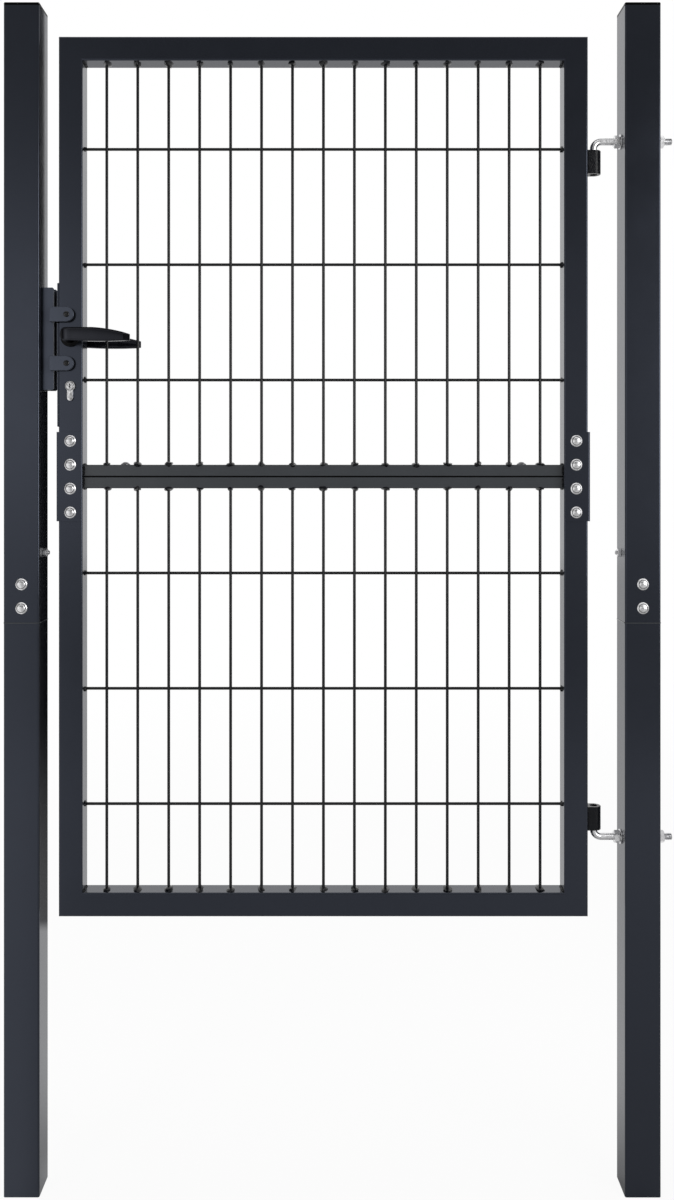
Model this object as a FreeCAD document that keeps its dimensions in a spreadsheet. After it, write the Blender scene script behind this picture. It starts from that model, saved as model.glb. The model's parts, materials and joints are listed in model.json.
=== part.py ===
import FreeCAD, Part
import math
import os
import re
import Sketcher
from FreeCAD import Placement, Rotation, Vector

# A single-leaf garden gate of powder coated steel tube between its two posts.
# Millimetres, +Z up, +X towards the hinge post, +Y to the back, where the leaf opens to.
# The origin is the centre of the hinge post's foot.

SIZES = [
    ("post_width", 60, "outside width of a square post"),
    ("post_wall", 2, "wall of a post"),
    ("post_corner", 3, "outside corner radius of a post"),
    ("post_above_leaf", 49, "top of the post tube above the leaf's top"),
    ("post_splice", 962, "height of the joint between a post's two lengths"),
    ("cap_plate", 5, "thickness of a post cap over the tube"),
    ("cap_plug", 18, "depth of the cap inside the tube"),
    ("cap_round", 1.5, "rounding of the cap's top edge"),
    ("fit_gap", 0.3, "clearance round a piece that is held or seated"),
    ("run_gap", 0.06, "radial clearance of a shaft that turns in its bearing"),
    ("bolt_gap", 0.05, "radial clearance of a bolt in its hole or nut"),
    ("sleeve_wall", 2, "wall of the sleeve inside a post"),
    ("sleeve_below", 100, "length of the sleeve below the joint"),
    ("sleeve_above", 150, "length of the sleeve above the joint"),
    ("splice_bolt_rise", 24, "first front bolt above the joint"),
    ("splice_bolt_pitch", 40, "spacing of the front bolts"),
    ("side_bolt_rise", 115, "bolt through the post's sides above the joint"),
    ("bolt_size", 8, "thread diameter of the carriage bolts"),
    ("bolt_head", 20, "diameter of a carriage bolt's head"),
    ("bolt_head_rise", 4.5, "height of a carriage bolt's head"),
    ("bolt_nut", 13, "across the flats of a carriage bolt's nut"),
    ("bolt_nut_depth", 6.5, "thickness of a carriage bolt's nut"),
    ("bolt_tail", 3.5, "thread that stands out of a carriage bolt's nut"),
    ("leaf_width", 890, "width of the leaf"),
    ("leaf_foot", 466, "underside of the leaf above the posts' feet"),
    ("half_height", 740, "height of one of the leaf's two frames"),
    ("hinge_gap", 60, "gap between the leaf and the hinge post"),
    ("latch_gap", 30, "gap between the leaf and the latch post"),
    ("frame_tube", 40, "outside width of the frame tube"),
    ("frame_wall", 1.5, "wall of the frame tube"),
    ("frame_corner", 2.5, "outside corner radius of the frame tube"),
    ("mid_tube", 20, "outside width of the middle rails' tube"),
    ("mid_wall", 1.5, "wall of the middle rails' tube"),
    ("mid_corner", 2, "outside corner radius of the middle rails' tube"),
    ("mid_screw_share", 0.6, "middle rails' screw inside the outermost wire, in wire spacings"),
    ("mid_screw_size", 8, "thread diameter of the middle rails' screws"),
    ("mid_screw_head", 16, "diameter of the middle rails' screw heads"),
    ("mid_screw_rise", 4.7, "height of the middle rails' screw heads"),
    ("mid_screw_end", 8, "screw below the lower middle rail's top face"),
    ("wire_size", 5, "across the flats of a mesh wire"),
    ("wire_sides", 8, "flats of a mesh wire"),
    ("wire_weld", 1, "depth that crossing wires are welded into each other"),
    ("wire_column_pitch", 52.5, "spacing of the upright wires"),
    ("wire_row_pitch", 196, "spacing of the level wires"),
    ("channel_height", 150, "height of the joint channels"),
    ("channel_plate", 3, "plate of the joint channels"),
    ("channel_inset", 1.5, "joint channel's free edge from the stile's inner face"),
    ("channel_bolt_pitch", 40, "spacing of the joint channels' bolts"),
    ("pin_offset", 13.5, "hinge axis outside the leaf's side"),
    ("rod_size", 12, "diameter of the hinge bolts"),
    ("rod_bend", 12, "bend radius of the hinge bolts at the rod's middle"),
    ("rod_tail", 13.5, "thread that stands out of a hinge bolt's outer nut"),
    ("barrel_radius", 12, "outside radius of a hinge barrel"),
    ("barrel_height", 40, "height of a hinge barrel"),
    ("upper_barrel_drop", 228, "foot of the upper hinge barrel below the leaf's top"),
    ("lower_barrel_rise", 142, "foot of the lower hinge barrel above the leaf's foot"),
    ("upper_rod_rise", 16, "upper hinge bolt above its barrel"),
    ("lower_rod_drop", 13, "lower hinge bolt below its barrel"),
    ("pin_end_inset", 3, "hinge pin's end inside its barrel"),
    ("hinge_nut", 19, "across the flats of a hinge bolt's nut"),
    ("hinge_nut_depth", 10, "thickness of a hinge bolt's nut"),
    ("washer_size", 25, "diameter of a hinge bolt's washer"),
    ("washer_depth", 2.5, "thickness of a hinge bolt's washer"),
    ("forend_clear", 9, "lock's front plate above the joint channel"),
    ("lock_backset", 20, "lever axis from the leaf's edge"),
    ("spindle_size", 8, "width of the square spindle"),
    ("spindle_inset", 6, "spindle's end behind the lever's face"),
    ("cylinder_drop", 82, "lock cylinder's plug below the lever axis"),
    ("cylinder_plug", 17, "diameter of the lock cylinder's round part"),
    ("cylinder_leg", 10, "width of the lock cylinder's leg"),
    ("cylinder_height", 33, "whole height of the lock cylinder"),
    ("cylinder_proud", 5, "lock cylinder beyond the stile's faces"),
    ("forend_width", 35, "width of the lock's front plate"),
    ("forend_plate", 3, "thickness of the lock's front plate"),
    ("forend_above", 92, "lock's front plate above the lever axis"),
    ("forend_below", 150, "lock's front plate below the lever axis"),
    ("case_depth", 36, "lock case behind the front plate"),
    ("case_width", 16, "width of the lock case"),
    ("case_inset", 20, "lock case's end from the front plate's end"),
    ("latch_rise", 45, "latch above the lever axis"),
    ("latch_height", 20, "height of the latch"),
    ("latch_width", 12, "width of the latch and of the dead bolt"),
    ("latch_proud", 1, "latch beyond the front plate when drawn in"),
    ("dead_drop", 42, "dead bolt below the lever axis"),
    ("dead_height", 28, "height of the dead bolt"),
    ("lock_bolt_length", 14, "length of the latch and of the dead bolt"),
    ("rose_radius", 16, "radius of the roses"),
    ("rose_depth", 7, "thickness of the roses"),
    ("neck_radius", 9, "radius of the levers' necks"),
    ("lever_reach", 54, "back of a lever's grip from the leaf's middle"),
    ("lever_thick", 12, "thickness of a lever's grip"),
    ("lever_length", 106, "lever's tip from its axis"),
    ("lever_heel", 9, "lever's grip beyond its axis, away from the tip"),
    ("lever_rise", 12.5, "lever's top edge above its axis at the neck"),
    ("lever_drop", 11, "lever's bottom edge below its axis"),
    ("lever_tip_rise", 1.5, "lever's top edge above its axis at the tip"),
    ("lever_shoulder", 14, "where the lever's top edge begins to fall"),
    ("lever_bow", 260, "radius of the lever's top edge"),
    ("lever_round", 3, "rounding of the lever's long edges"),
    ("heel_round", 8, "corner radius of the lever's heel"),
    ("keep_width", 26, "width of the keep"),
    ("keep_clear", 7, "keep's flanges from the lock's front plate"),
    ("keep_plate", 3, "plate of the keep"),
    ("keep_drop", 88, "foot of the keep below the lever axis"),
    ("keep_height", 173, "height of the keep"),
    ("keep_chamfer", 2, "cut corners of the keep's flanges"),
    ("keep_screw_inset", 22, "keep's screws from its ends"),
    ("keep_screw_size", 6, "thread diameter of the keep's screws"),
    ("keep_screw_head", 12, "diameter of the keep's screw heads"),
    ("keep_screw_rise", 3, "height of the keep's screw heads"),
    ("keep_screw_end", 4, "keep's screws beyond the post's wall"),
    ("upper_stop_rise", 126, "upper stop above the keep's foot"),
    ("lower_stop_rise", 44, "lower stop above the keep's foot"),
    ("stop_height", 25, "height of a stop"),
    ("stop_plate", 4, "plate of a stop"),
    ("stop_reach", 25, "stop's round end's centre from the keep's edge"),
    ("buffer_depth", 5, "thickness of a stop's buffer"),
    ("buffer_radius", 8, "radius of a stop's buffer"),
    ("buffer_stem", 3.5, "radius of the buffer's stem"),
    ("buffer_button", 5, "radius of the buffer's button"),
    ("buffer_button_rise", 2, "height of the buffer's button"),
]
NAMES = [name for name, number, meaning in SIZES]

# Places that several pieces share, worked out from the sizes.
LEAF_HINGE_SIDE = "(-post_width / 2 - hinge_gap)"
LEAF_LATCH_SIDE = f"({LEAF_HINGE_SIDE} - leaf_width)"
LATCH_POST_FACE = f"({LEAF_LATCH_SIDE} - latch_gap)"
LATCH_POST_MIDDLE = f"({LATCH_POST_FACE} - post_width / 2)"
LATCH_STILE_MIDDLE = f"({LEAF_LATCH_SIDE} + frame_tube / 2)"
HINGE_STILE_MIDDLE = f"({LEAF_HINGE_SIDE} - frame_tube / 2)"
CLEAR_WIDTH = "(leaf_width - 2 * frame_tube)"
CLEAR_HEIGHT = "(half_height - frame_tube - mid_tube)"
SEAM = "(leaf_foot + half_height)"
LEAF_TOP = "(leaf_foot + 2 * half_height)"
POST_TOP = f"({LEAF_TOP} + post_above_leaf)"
COLUMNS = f"floor({CLEAR_WIDTH} / wire_column_pitch)"
ROWS = f"floor({CLEAR_HEIGHT} / wire_row_pitch)"
HINGE_AXIS = f"({LEAF_HINGE_SIDE} + pin_offset)"
UPPER_BARREL_FOOT = f"({LEAF_TOP} - upper_barrel_drop)"
LOWER_BARREL_FOOT = "(leaf_foot + lower_barrel_rise)"
UPPER_ROD = f"({UPPER_BARREL_FOOT} + barrel_height + upper_rod_rise)"
LOWER_ROD = f"({LOWER_BARREL_FOOT} - lower_rod_drop)"
ROD_END = "(post_width / 2 + washer_depth + hinge_nut_depth + rod_tail)"
LEVER_AXIS = f"({LEAF_LATCH_SIDE} + lock_backset)"
FOREND_FOOT = f"({SEAM} + channel_height / 2 + forend_clear)"
FOREND_HEIGHT = "(forend_below + forend_above)"
SPINDLE_HEIGHT = f"({FOREND_FOOT} + forend_below)"
CYLINDER_HEIGHT = f"({SPINDLE_HEIGHT} - cylinder_drop)"
LATCH_FOOT = f"({SPINDLE_HEIGHT} + latch_rise - latch_height / 2)"
DEAD_BOLT_FOOT = f"({SPINDLE_HEIGHT} - dead_drop - dead_height / 2)"
KEEP_DEPTH = "(latch_gap - forend_plate - keep_clear)"
KEEP_EDGE = f"({LATCH_POST_FACE} + {KEEP_DEPTH})"
KEEP_FOOT = f"({SPINDLE_HEIGHT} - keep_drop)"
KEEP_SCREWS = (
    f"({KEEP_FOOT} + keep_screw_inset)",
    f"({KEEP_FOOT} + keep_height - keep_screw_inset)",
)
JOINT_RISES = ("channel_bolt_pitch / 2", "(channel_bolt_pitch + channel_bolt_pitch / 2)")
SPINDLE_HOLE = "(spindle_size * sqrt(2) / 2 + fit_gap)"
STOP_BACK = "(frame_tube / 2 + fit_gap + buffer_depth)"
CHANNEL_FACE = "(frame_tube / 2 + fit_gap + channel_plate)"

# Turns that point a piece's own +Z somewhere else.
UPRIGHT = Rotation()
TO_FRONT = Rotation(Vector(1, 0, 0), 90)
TO_BACK = Rotation(Vector(1, 0, 0), -90)
TO_HINGE = Rotation(Vector(0, 1, 0), 90)
TO_LATCH = Rotation(Vector(0, 1, 0), -90)
TO_HINGE_FLIPPED = Rotation(Vector(0, 0, 1), Vector(0, -1, 0), Vector(1, 0, 0))
DOWN = Rotation(Vector(1, 0, 0), 180)
TURNED = Rotation(Vector(0, 0, 1), 180)
DOWN_TURNED = Rotation(Vector(0, 1, 0), 180)

doc = FreeCAD.newDocument("GardenGate")
sheet = doc.addObject("Spreadsheet::Sheet", "Sizes")
for row, (name, number, meaning) in enumerate(SIZES, 1):
    sheet.set(f"A{row}", name)
    sheet.set(f"B{row}", str(number))
    sheet.set(f"C{row}", meaning)
    sheet.setAlias(f"B{row}", name)
doc.recompute()

pieces = []


def cells(text):
    """The expression with every size's name written as a cell of the sheet."""
    return re.sub(r"[a-z_]+", lambda word: cell_or_word(word.group()), str(text))


def cell_or_word(word):
    return "Sizes." + word if word in NAMES else word


def value(text):
    """The number that an expression has now."""
    result = sheet.evalExpression(cells(text))
    return float(getattr(result, "Value", result))


def bind(thing, **expressions):
    for name, text in expressions.items():
        thing.setExpression(name, cells(text))
    return thing


def place(thing, across="0", deep="0", up="0", turn=UPRIGHT):
    """Put a thing's own origin at a place, with its own +Z turned."""
    thing.Placement = Placement(Vector(), turn)
    for axis, text in zip("xyz", (across, deep, up)):
        thing.setExpression("Placement.Base." + axis, cells(text))
    return thing


def piece(label, thing):
    """Name a finished piece, which is written to a file of that name."""
    thing.Label = label
    pieces.append(thing)
    return thing


def box(across, deep, up, at):
    thing = doc.addObject("Part::Box", "Block")
    bind(thing, Length=across, Width=deep, Height=up)
    return place(thing, *at)


def cylinder(radius, height, at, turn=UPRIGHT):
    thing = doc.addObject("Part::Cylinder", "Round")
    bind(thing, Radius=radius, Height=height)
    return place(thing, *at, turn=turn)


def fused(*things):
    thing = doc.addObject("Part::MultiFuse", "Fused")
    thing.Shapes = list(things)
    return thing


def cut(base, tool):
    thing = doc.addObject("Part::Cut", "Cut")
    thing.Base = base
    thing.Tool = tool
    return thing


def together(things):
    """Like pieces that don't touch, kept in one file."""
    thing = doc.addObject("Part::Compound", "Together")
    thing.Links = list(things)
    return thing


def new_body(label):
    body = doc.addObject("PartDesign::Body", "Body")
    return piece(label, body)


def new_sketch(body, plane, offset="0"):
    """A sketch on one of the body's own planes, moved along its normal."""
    sketch = body.newObject("Sketcher::SketchObject", "Sketch")
    support = [item for item in body.Origin.OriginFeatures if item.Role == plane + "_Plane"]
    sketch.AttachmentSupport = [(support[0], "")]
    sketch.MapMode = "FlatFace"
    sketch.setExpression("AttachmentOffset.Base.z", cells(offset))
    return sketch


def pin_point(sketch, edge, end, across, up):
    """Hold one end of an edge at two expressions from the sketch's origin."""
    for kind, text in (("DistanceX", across), ("DistanceY", up)):
        held = sketch.addConstraint(Sketcher.Constraint(kind, -1, 1, edge, end, value(text)))
        sketch.setExpression(f"Constraints[{held}]", cells(text))


def pin_radius(sketch, edge, radius):
    held = sketch.addConstraint(Sketcher.Constraint("Radius", edge, value(radius)))
    sketch.setExpression(f"Constraints[{held}]", cells(radius))


def arc_between(start, end, radius):
    """The shorter arc of a radius that turns anticlockwise from start to end."""
    chord = end - start
    side = Vector(-chord.y, chord.x, 0).normalize()
    half = chord.Length / 2
    middle = start + chord * 0.5 + side * math.sqrt(max(radius * radius - half * half, 0))
    angles = [math.atan2(p.y - middle.y, p.x - middle.x) for p in (start, end)]
    return Part.ArcOfCircle(Part.Circle(middle, Vector(0, 0, 1), radius), *angles)


def outline(sketch, corners):
    """A closed outline, anticlockwise; a corner with a radius starts an arc of that radius."""
    spots = [Vector(value(corner[0]), value(corner[1]), 0) for corner in corners]
    first = sketch.GeometryCount
    count = len(corners)
    for number, corner in enumerate(corners):
        start = spots[number]
        end = spots[(number + 1) % count]
        if len(corner) == 3:
            sketch.addGeometry(arc_between(start, end, value(corner[2])))
        else:
            sketch.addGeometry(Part.LineSegment(start, end))
    for number, corner in enumerate(corners):
        follower = first + (number + 1) % count
        sketch.addConstraint(Sketcher.Constraint("Coincident", first + number, 2, follower, 1))
        pin_point(sketch, first + number, 1, corner[0], corner[1])
    for number, corner in enumerate(corners):
        if len(corner) == 3:
            pin_radius(sketch, first + number, corner[2])
    return sketch


def circles(sketch, places, radius):
    for across, up in places:
        edge = sketch.addGeometry(
            Part.Circle(Vector(value(across), value(up), 0), Vector(0, 0, 1), value(radius))
        )
        pin_point(sketch, edge, 3, across, up)
        pin_radius(sketch, edge, radius)
    return sketch


def square(width):
    """The corners of a square about the sketch's origin."""
    half = f"({width}) / 2"
    return [(f"-{half}", f"-{half}"), (half, f"-{half}"), (half, half), (f"-{half}", half)]


def rectangle(low_across, low_up, high_across, high_up):
    return [
        (low_across, low_up),
        (high_across, low_up),
        (high_across, high_up),
        (low_across, high_up),
    ]


def pad(body, sketch, length, both_ways=False):
    feature = body.newObject("PartDesign::Pad", "Pad")
    feature.Profile = sketch
    bind(feature, Length=length)
    feature.Midplane = both_ways
    doc.recompute()
    return feature


def pocket(body, sketch, reach):
    """Cut the body to the same depth on both sides of the sketch."""
    before = body.Shape.Volume
    feature = body.newObject("PartDesign::Pocket", "Pocket")
    feature.Profile = sketch
    bind(feature, Length=f"2 * ({reach})")
    feature.Midplane = True
    doc.recompute()
    if body.Shape.Volume >= before:
        raise RuntimeError(f"{feature.Name} of {body.Label} cuts nothing")
    return feature


def dress(body, kind, edges, size):
    """A fillet or a chamfer on the edges of the body's last feature."""
    base = body.Tip
    feature = body.newObject("PartDesign::" + kind, kind)
    feature.Base = (base, edges)
    bind(feature, **{"Radius" if kind == "Fillet" else "Size": size})
    doc.recompute()
    return feature


def edges_where(shape, test):
    """The names of the edges whose end points all pass a test."""
    names = []
    for number, edge in enumerate(shape.Edges, 1):
        ends = [vertex.Point for vertex in edge.Vertexes]
        if len(ends) == 2 and test(*ends):
            names.append(f"Edge{number}")
    return names


def near(one, other):
    return abs(one - other) < 1e-4


def corner_edges(shape, half):
    """The long edges of a square tube that stand at its corners."""
    def at_corner(point):
        return near(abs(point.x), half) and near(abs(point.y), half)
    return edges_where(shape, lambda a, b: at_corner(a) and at_corner(b) and not near(a.z, b.z))


def tube(label, width, wall, corner, length):
    """A square tube along its own +Z, with round corners outside and inside."""
    body = new_body(label)
    section = new_sketch(body, "XY")
    outline(section, square(width))
    outline(section, square(f"{width} - 2 * {wall}"))
    pad(body, section, length)
    dress(body, "Fillet", corner_edges(body.Shape, value(width) / 2), corner)
    if value(f"{corner} - {wall}") > 0:
        inner = corner_edges(body.Shape, value(width) / 2 - value(wall))
        dress(body, "Fillet", inner, f"{corner} - {wall}")
    return body


def drill(body, plane, places, radius, reach):
    """Round holes into the body, on both sides of one of its planes."""
    pocket(body, circles(new_sketch(body, plane), places, radius), reach)


def mitre(body, width, length, both_ends):
    """Cut the far end, or both ends, at 45 degrees, so that the -X side stays longest."""
    half = f"{width} / 2"
    spare = "fit_gap"
    sketch = new_sketch(body, "XZ")
    outline(sketch, [
        (f"-{half} - {spare}", f"{length} + {spare}"),
        (f"{half} + {spare}", f"{length} - {width} - {spare}"),
        (f"{half} + {spare}", f"{length} + {spare}"),
    ])
    if both_ends:
        outline(sketch, [
            (f"-{half} - {spare}", f"-{spare}"),
            (f"{half} + {spare}", f"-{spare}"),
            (f"{half} + {spare}", f"{width} + {spare}"),
        ])
    pocket(body, sketch, width)


def dome(diameter, rise, foot="0"):
    """A round head's cap above its foot: the top slice of a ball."""
    ball = f"(({diameter}) ^ 2 / 4 + {rise} ^ 2) / (2 * {rise})"
    thing = doc.addObject("Part::Sphere", "Dome")
    bind(thing, Radius=ball, Angle1=f"asin(({ball} - {rise}) / ({ball}))")
    thing.Angle2 = 90
    return place(thing, up=f"{foot} + {rise} - {ball}")


def round_bolt(head, rise, size, length, at, turn):
    """A dome-headed bolt: its head lies on the plane at its own origin, its shank runs back."""
    shank = cylinder(f"{size} / 2", length, ("0", "0", f"-({length})"))
    return place(fused(dome(head, rise), shank), *at, turn=turn)


def nut(flats, depth, size, at, turn):
    """A hexagon nut on the plane at its own origin, with its bore clear of the thread."""
    block = doc.addObject("Part::Prism", "Hexagon")
    block.Polygon = 6
    bind(block, Circumradius=f"{flats} / sqrt(3)", Height=depth)
    bore = bore_through(f"{size} / 2 + bolt_gap", depth)
    return place(cut(block, bore), *at, turn=turn)


def ring(outer, inner, depth, at, turn):
    """A washer or a rose: a flat ring on the plane at its own origin."""
    disc = cylinder(outer, depth, ("0", "0", "0"))
    return place(cut(disc, bore_through(inner, depth)), *at, turn=turn)


def bore_through(radius, depth):
    return cylinder(radius, f"{depth} + 2 * fit_gap", ("0", "0", "-fit_gap"))


def make_post(side, middle, side_bolt_turn, side_holes):
    """One post: two lengths of tube over a sleeve, the bolts that hold them, and its cap."""
    bore = "bolt_size / 2 + bolt_gap"
    front_rises = ["splice_bolt_rise", "splice_bolt_rise + splice_bolt_pitch"]
    low = tube(f"{side}_post_lower", "post_width", "post_wall", "post_corner", "post_splice")
    high_length = f"{POST_TOP} - post_splice"
    high = tube(f"{side}_post_upper", "post_width", "post_wall", "post_corner", high_length)
    inner = "(post_width - 2 * post_wall - 2 * fit_gap)"
    inner_corner = "(post_corner - post_wall)"
    sleeve_length = "sleeve_below + sleeve_above"
    sleeve = tube(f"{side}_post_sleeve", inner, "sleeve_wall", inner_corner, sleeve_length)
    place(low, middle)
    place(high, middle, up="post_splice")
    place(sleeve, middle, up="post_splice - sleeve_below")
    drill(high, "XZ", [("0", rise) for rise in front_rises], bore, "post_width")
    drill(high, "YZ", [("0", "side_bolt_rise")], bore, "post_width")
    in_sleeve = [("0", f"sleeve_below + {rise}") for rise in front_rises]
    drill(sleeve, "XZ", in_sleeve, bore, "post_width")
    drill(sleeve, "YZ", [("0", "sleeve_below + side_bolt_rise")], bore, "post_width")
    for body, height, radius in side_holes:
        start = "post_splice" if body == "upper" else "0"
        drill(high if body == "upper" else low, "YZ", [("0", f"{height} - {start}")], radius,
              "post_width")

    cap = new_body(f"{side}_post_cap")
    pad(cap, outline(new_sketch(cap, "XY"), square("post_width")), "cap_plate")
    dress(cap, "Fillet", corner_edges(cap.Shape, value("post_width") / 2), "post_corner")
    top = value("cap_plate")
    rim = edges_where(cap.Shape, lambda a, b: near(a.z, top) and near(b.z, top))
    dress(cap, "Fillet", rim, "cap_round")
    pad(cap, outline(new_sketch(cap, "XY", "-cap_plug"), square(inner)), "cap_plug")
    place(cap, middle, up=POST_TOP)

    length = "(post_width + bolt_nut_depth + bolt_tail)"
    half = "post_width / 2"
    heights = [f"post_splice + {rise}" for rise in front_rises]
    across = 1 if side_bolt_turn == TO_HINGE else -1
    side_face = f"{middle} + {across} * {half}"
    side_back = f"{middle} - {across} * {half}"
    side_height = "post_splice + side_bolt_rise"
    other_turn = TO_LATCH if across == 1 else TO_HINGE
    bolts = [bolt_through(middle, f"-{half}", height, TO_FRONT, length) for height in heights]
    bolts.append(bolt_through(side_face, "0", side_height, side_bolt_turn, length))
    nuts = [bolt_nut(middle, half, height, TO_BACK) for height in heights]
    nuts.append(bolt_nut(side_back, "0", side_height, other_turn))
    piece(f"{side}_post_bolts", together(bolts))
    piece(f"{side}_post_nuts", together(nuts))


def bolt_through(across, deep, up, turn, length):
    return round_bolt("bolt_head", "bolt_head_rise", "bolt_size", length, (across, deep, up), turn)


def bolt_nut(across, deep, up, turn):
    return nut("bolt_nut", "bolt_nut_depth", "bolt_size", (across, deep, up), turn)


def make_frames():
    """The leaf's two frames: mitred 40 mm tube outside, a 20 mm rail at the joint."""
    frame = ("frame_tube", "frame_wall", "frame_corner")
    stiles = [
        ("upper_latch_stile", LATCH_STILE_MIDDLE, UPRIGHT),
        ("lower_latch_stile", LATCH_STILE_MIDDLE, DOWN),
        ("upper_hinge_stile", HINGE_STILE_MIDDLE, TURNED),
        ("lower_hinge_stile", HINGE_STILE_MIDDLE, DOWN_TURNED),
    ]
    for label, middle, turn in stiles:
        stile = tube(label, *frame, "half_height")
        mitre(stile, "frame_tube", "half_height", False)
        drill(stile, "XZ", [("0", rise) for rise in JOINT_RISES],
              "bolt_size / 2 + bolt_gap", "frame_tube")
        place(stile, middle, up=SEAM, turn=turn)
        if label == "upper_latch_stile":
            make_room_for_lock(stile)

    for label, height, turn in (
        ("top_rail", f"{LEAF_TOP} - frame_tube / 2", TO_HINGE),
        ("bottom_rail", "leaf_foot + frame_tube / 2", TO_HINGE_FLIPPED),
    ):
        rail = tube(label, *frame, "leaf_width")
        mitre(rail, "frame_tube", "leaf_width", True)
        place(rail, LEAF_LATCH_SIDE, up=height, turn=turn)

    off_middle = f"(({COLUMNS} - 1) / 2 - mid_screw_share) * wire_column_pitch"
    screws = [f"{CLEAR_WIDTH} / 2 {sign} {off_middle}" for sign in "-+"]
    for label, height in (
        ("upper_mid_rail", f"{SEAM} + mid_tube / 2"),
        ("lower_mid_rail", f"{SEAM} - mid_tube / 2"),
    ):
        rail = tube(label, "mid_tube", "mid_wall", "mid_corner", CLEAR_WIDTH)
        drill(rail, "YZ", [("0", along) for along in screws],
              "mid_screw_size / 2 + bolt_gap", "mid_tube")
        place(rail, f"{LEAF_LATCH_SIDE} + frame_tube", up=height, turn=TO_HINGE)

    length = "(mid_tube + mid_wall + mid_screw_end)"
    places = [f"{LEAF_LATCH_SIDE} + frame_tube + {along}" for along in screws]
    piece("mid_rail_screws", together([
        round_bolt("mid_screw_head", "mid_screw_rise", "mid_screw_size", length,
                   (across, "0", f"{SEAM} + mid_tube"), UPRIGHT)
        for across in places
    ]))


def make_room_for_lock(stile):
    """Openings in the latch stile for the lever's spindle, the cylinder and the lock case."""
    axis = "lock_backset - frame_tube / 2"
    level = f"{SPINDLE_HEIGHT} - {SEAM}"
    drill(stile, "XZ", [(axis, level)], SPINDLE_HOLE, "frame_tube")
    pocket(stile, cylinder_profile(stile, axis, f"{CYLINDER_HEIGHT} - {SEAM}", "fit_gap"),
           "frame_tube")
    foot = f"{FOREND_FOOT} + case_inset - {SEAM} - fit_gap"
    head = f"{FOREND_FOOT} + {FOREND_HEIGHT} - case_inset - {SEAM} + fit_gap"
    slot = new_sketch(stile, "YZ", "-frame_tube / 2")
    outline(slot, rectangle("-case_width / 2 - fit_gap", foot, "case_width / 2 + fit_gap", head))
    pocket(stile, slot, "2 * frame_wall")


def cylinder_profile(body, across, up, gap):
    """The lock cylinder's outline, seen from the front: a round plug above a leg."""
    plug = f"(cylinder_plug / 2 + {gap})"
    leg = f"(cylinder_leg / 2 + {gap})"
    neck = f"sqrt({plug} ^ 2 - {leg} ^ 2)"
    foot = "(cylinder_height - cylinder_plug / 2 - cylinder_leg / 2)"
    top = f"{up} + {plug}"
    return outline(new_sketch(body, "XZ"), [
        (f"{across} - {leg}", f"{up} - {foot}", leg),
        (across, f"{up} - {foot} - {leg}", leg),
        (f"{across} + {leg}", f"{up} - {foot}"),
        (f"{across} + {leg}", f"{up} - {neck}", plug),
        (across, top, plug),
        (f"{across} - {leg}", f"{up} - {neck}"),
    ])


def wire(length, at, turn):
    """One welded wire: a bar of few sides along its own +Z."""
    thing = doc.addObject("Part::Prism", "Wire")
    bind(thing, Polygon="wire_sides", Height=length,
         Circumradius="wire_size / 2 / cos(180 / wire_sides)")
    half_flat = Rotation(Vector(0, 0, 1), 180 / value("wire_sides"))
    return place(thing, *at, turn=turn.multiply(half_flat))


def make_mesh(label, foot):
    """One welded mesh: level wires behind the upright ones, welded where they cross."""
    set_back = "(wire_size - wire_weld) / 2"
    left = f"{LEAF_LATCH_SIDE} + frame_tube"
    wires = []
    for number in range(int(value(COLUMNS))):
        along = f"{CLEAR_WIDTH} / 2 + ({number} - ({COLUMNS} - 1) / 2) * wire_column_pitch"
        wires.append(wire(CLEAR_HEIGHT, (f"{left} + {along}", f"-{set_back}", foot), UPRIGHT))
    for number in range(int(value(ROWS))):
        rise = f"{CLEAR_HEIGHT} / 2 + ({number} - ({ROWS} - 1) / 2) * wire_row_pitch"
        wires.append(wire(CLEAR_WIDTH, (left, set_back, f"{foot} + {rise}"), TO_HINGE))
    piece(label, fused(*wires))


def make_joint_channels():
    """Channels bent round the outside of both stiles, which bolt the two frames together."""
    inner = "(frame_tube / 2 + fit_gap)"
    outer = CHANNEL_FACE
    edge = "(frame_tube / 2 - channel_inset)"
    corners = [
        (f"-{outer}", f"-{outer}"),
        (edge, f"-{outer}"),
        (edge, f"-{inner}"),
        (f"-{inner}", f"-{inner}"),
        (f"-{inner}", inner),
        (edge, inner),
        (edge, outer),
        (f"-{outer}", outer),
    ]
    rises = [f"channel_height / 2 {sign} {rise}" for sign in "-+" for rise in JOINT_RISES]
    for label, middle, turn in (
        ("latch_joint_channel", LATCH_STILE_MIDDLE, UPRIGHT),
        ("hinge_joint_channel", HINGE_STILE_MIDDLE, TURNED),
    ):
        channel = new_body(label)
        pad(channel, outline(new_sketch(channel, "XY"), corners), "channel_height")
        bends = edges_where(channel.Shape, on_line(-value(outer), value(outer)))
        dress(channel, "Fillet", bends, "channel_plate")
        drill(channel, "XZ", [("0", rise) for rise in rises],
              "bolt_size / 2 + bolt_gap", "frame_tube")
        place(channel, middle, up=f"{SEAM} - channel_height / 2", turn=turn)

    length = f"(2 * {CHANNEL_FACE} + bolt_nut_depth + bolt_tail)"
    spots = [(middle, f"{SEAM} - channel_height / 2 + {rise}")
             for middle in (LATCH_STILE_MIDDLE, HINGE_STILE_MIDDLE) for rise in rises]
    piece("joint_bolts", together([
        bolt_through(across, f"-{CHANNEL_FACE}", up, TO_FRONT, length) for across, up in spots
    ]))
    piece("joint_nuts", together([
        bolt_nut(across, CHANNEL_FACE, up, TO_BACK) for across, up in spots
    ]))


def on_line(x, y):
    """A test for upright edges at one x and at y or its opposite."""
    def passes(a, b):
        level = near(a.z, b.z)
        return not level and all(near(p.x, x) and near(abs(p.y), y) for p in (a, b))
    return passes


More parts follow.
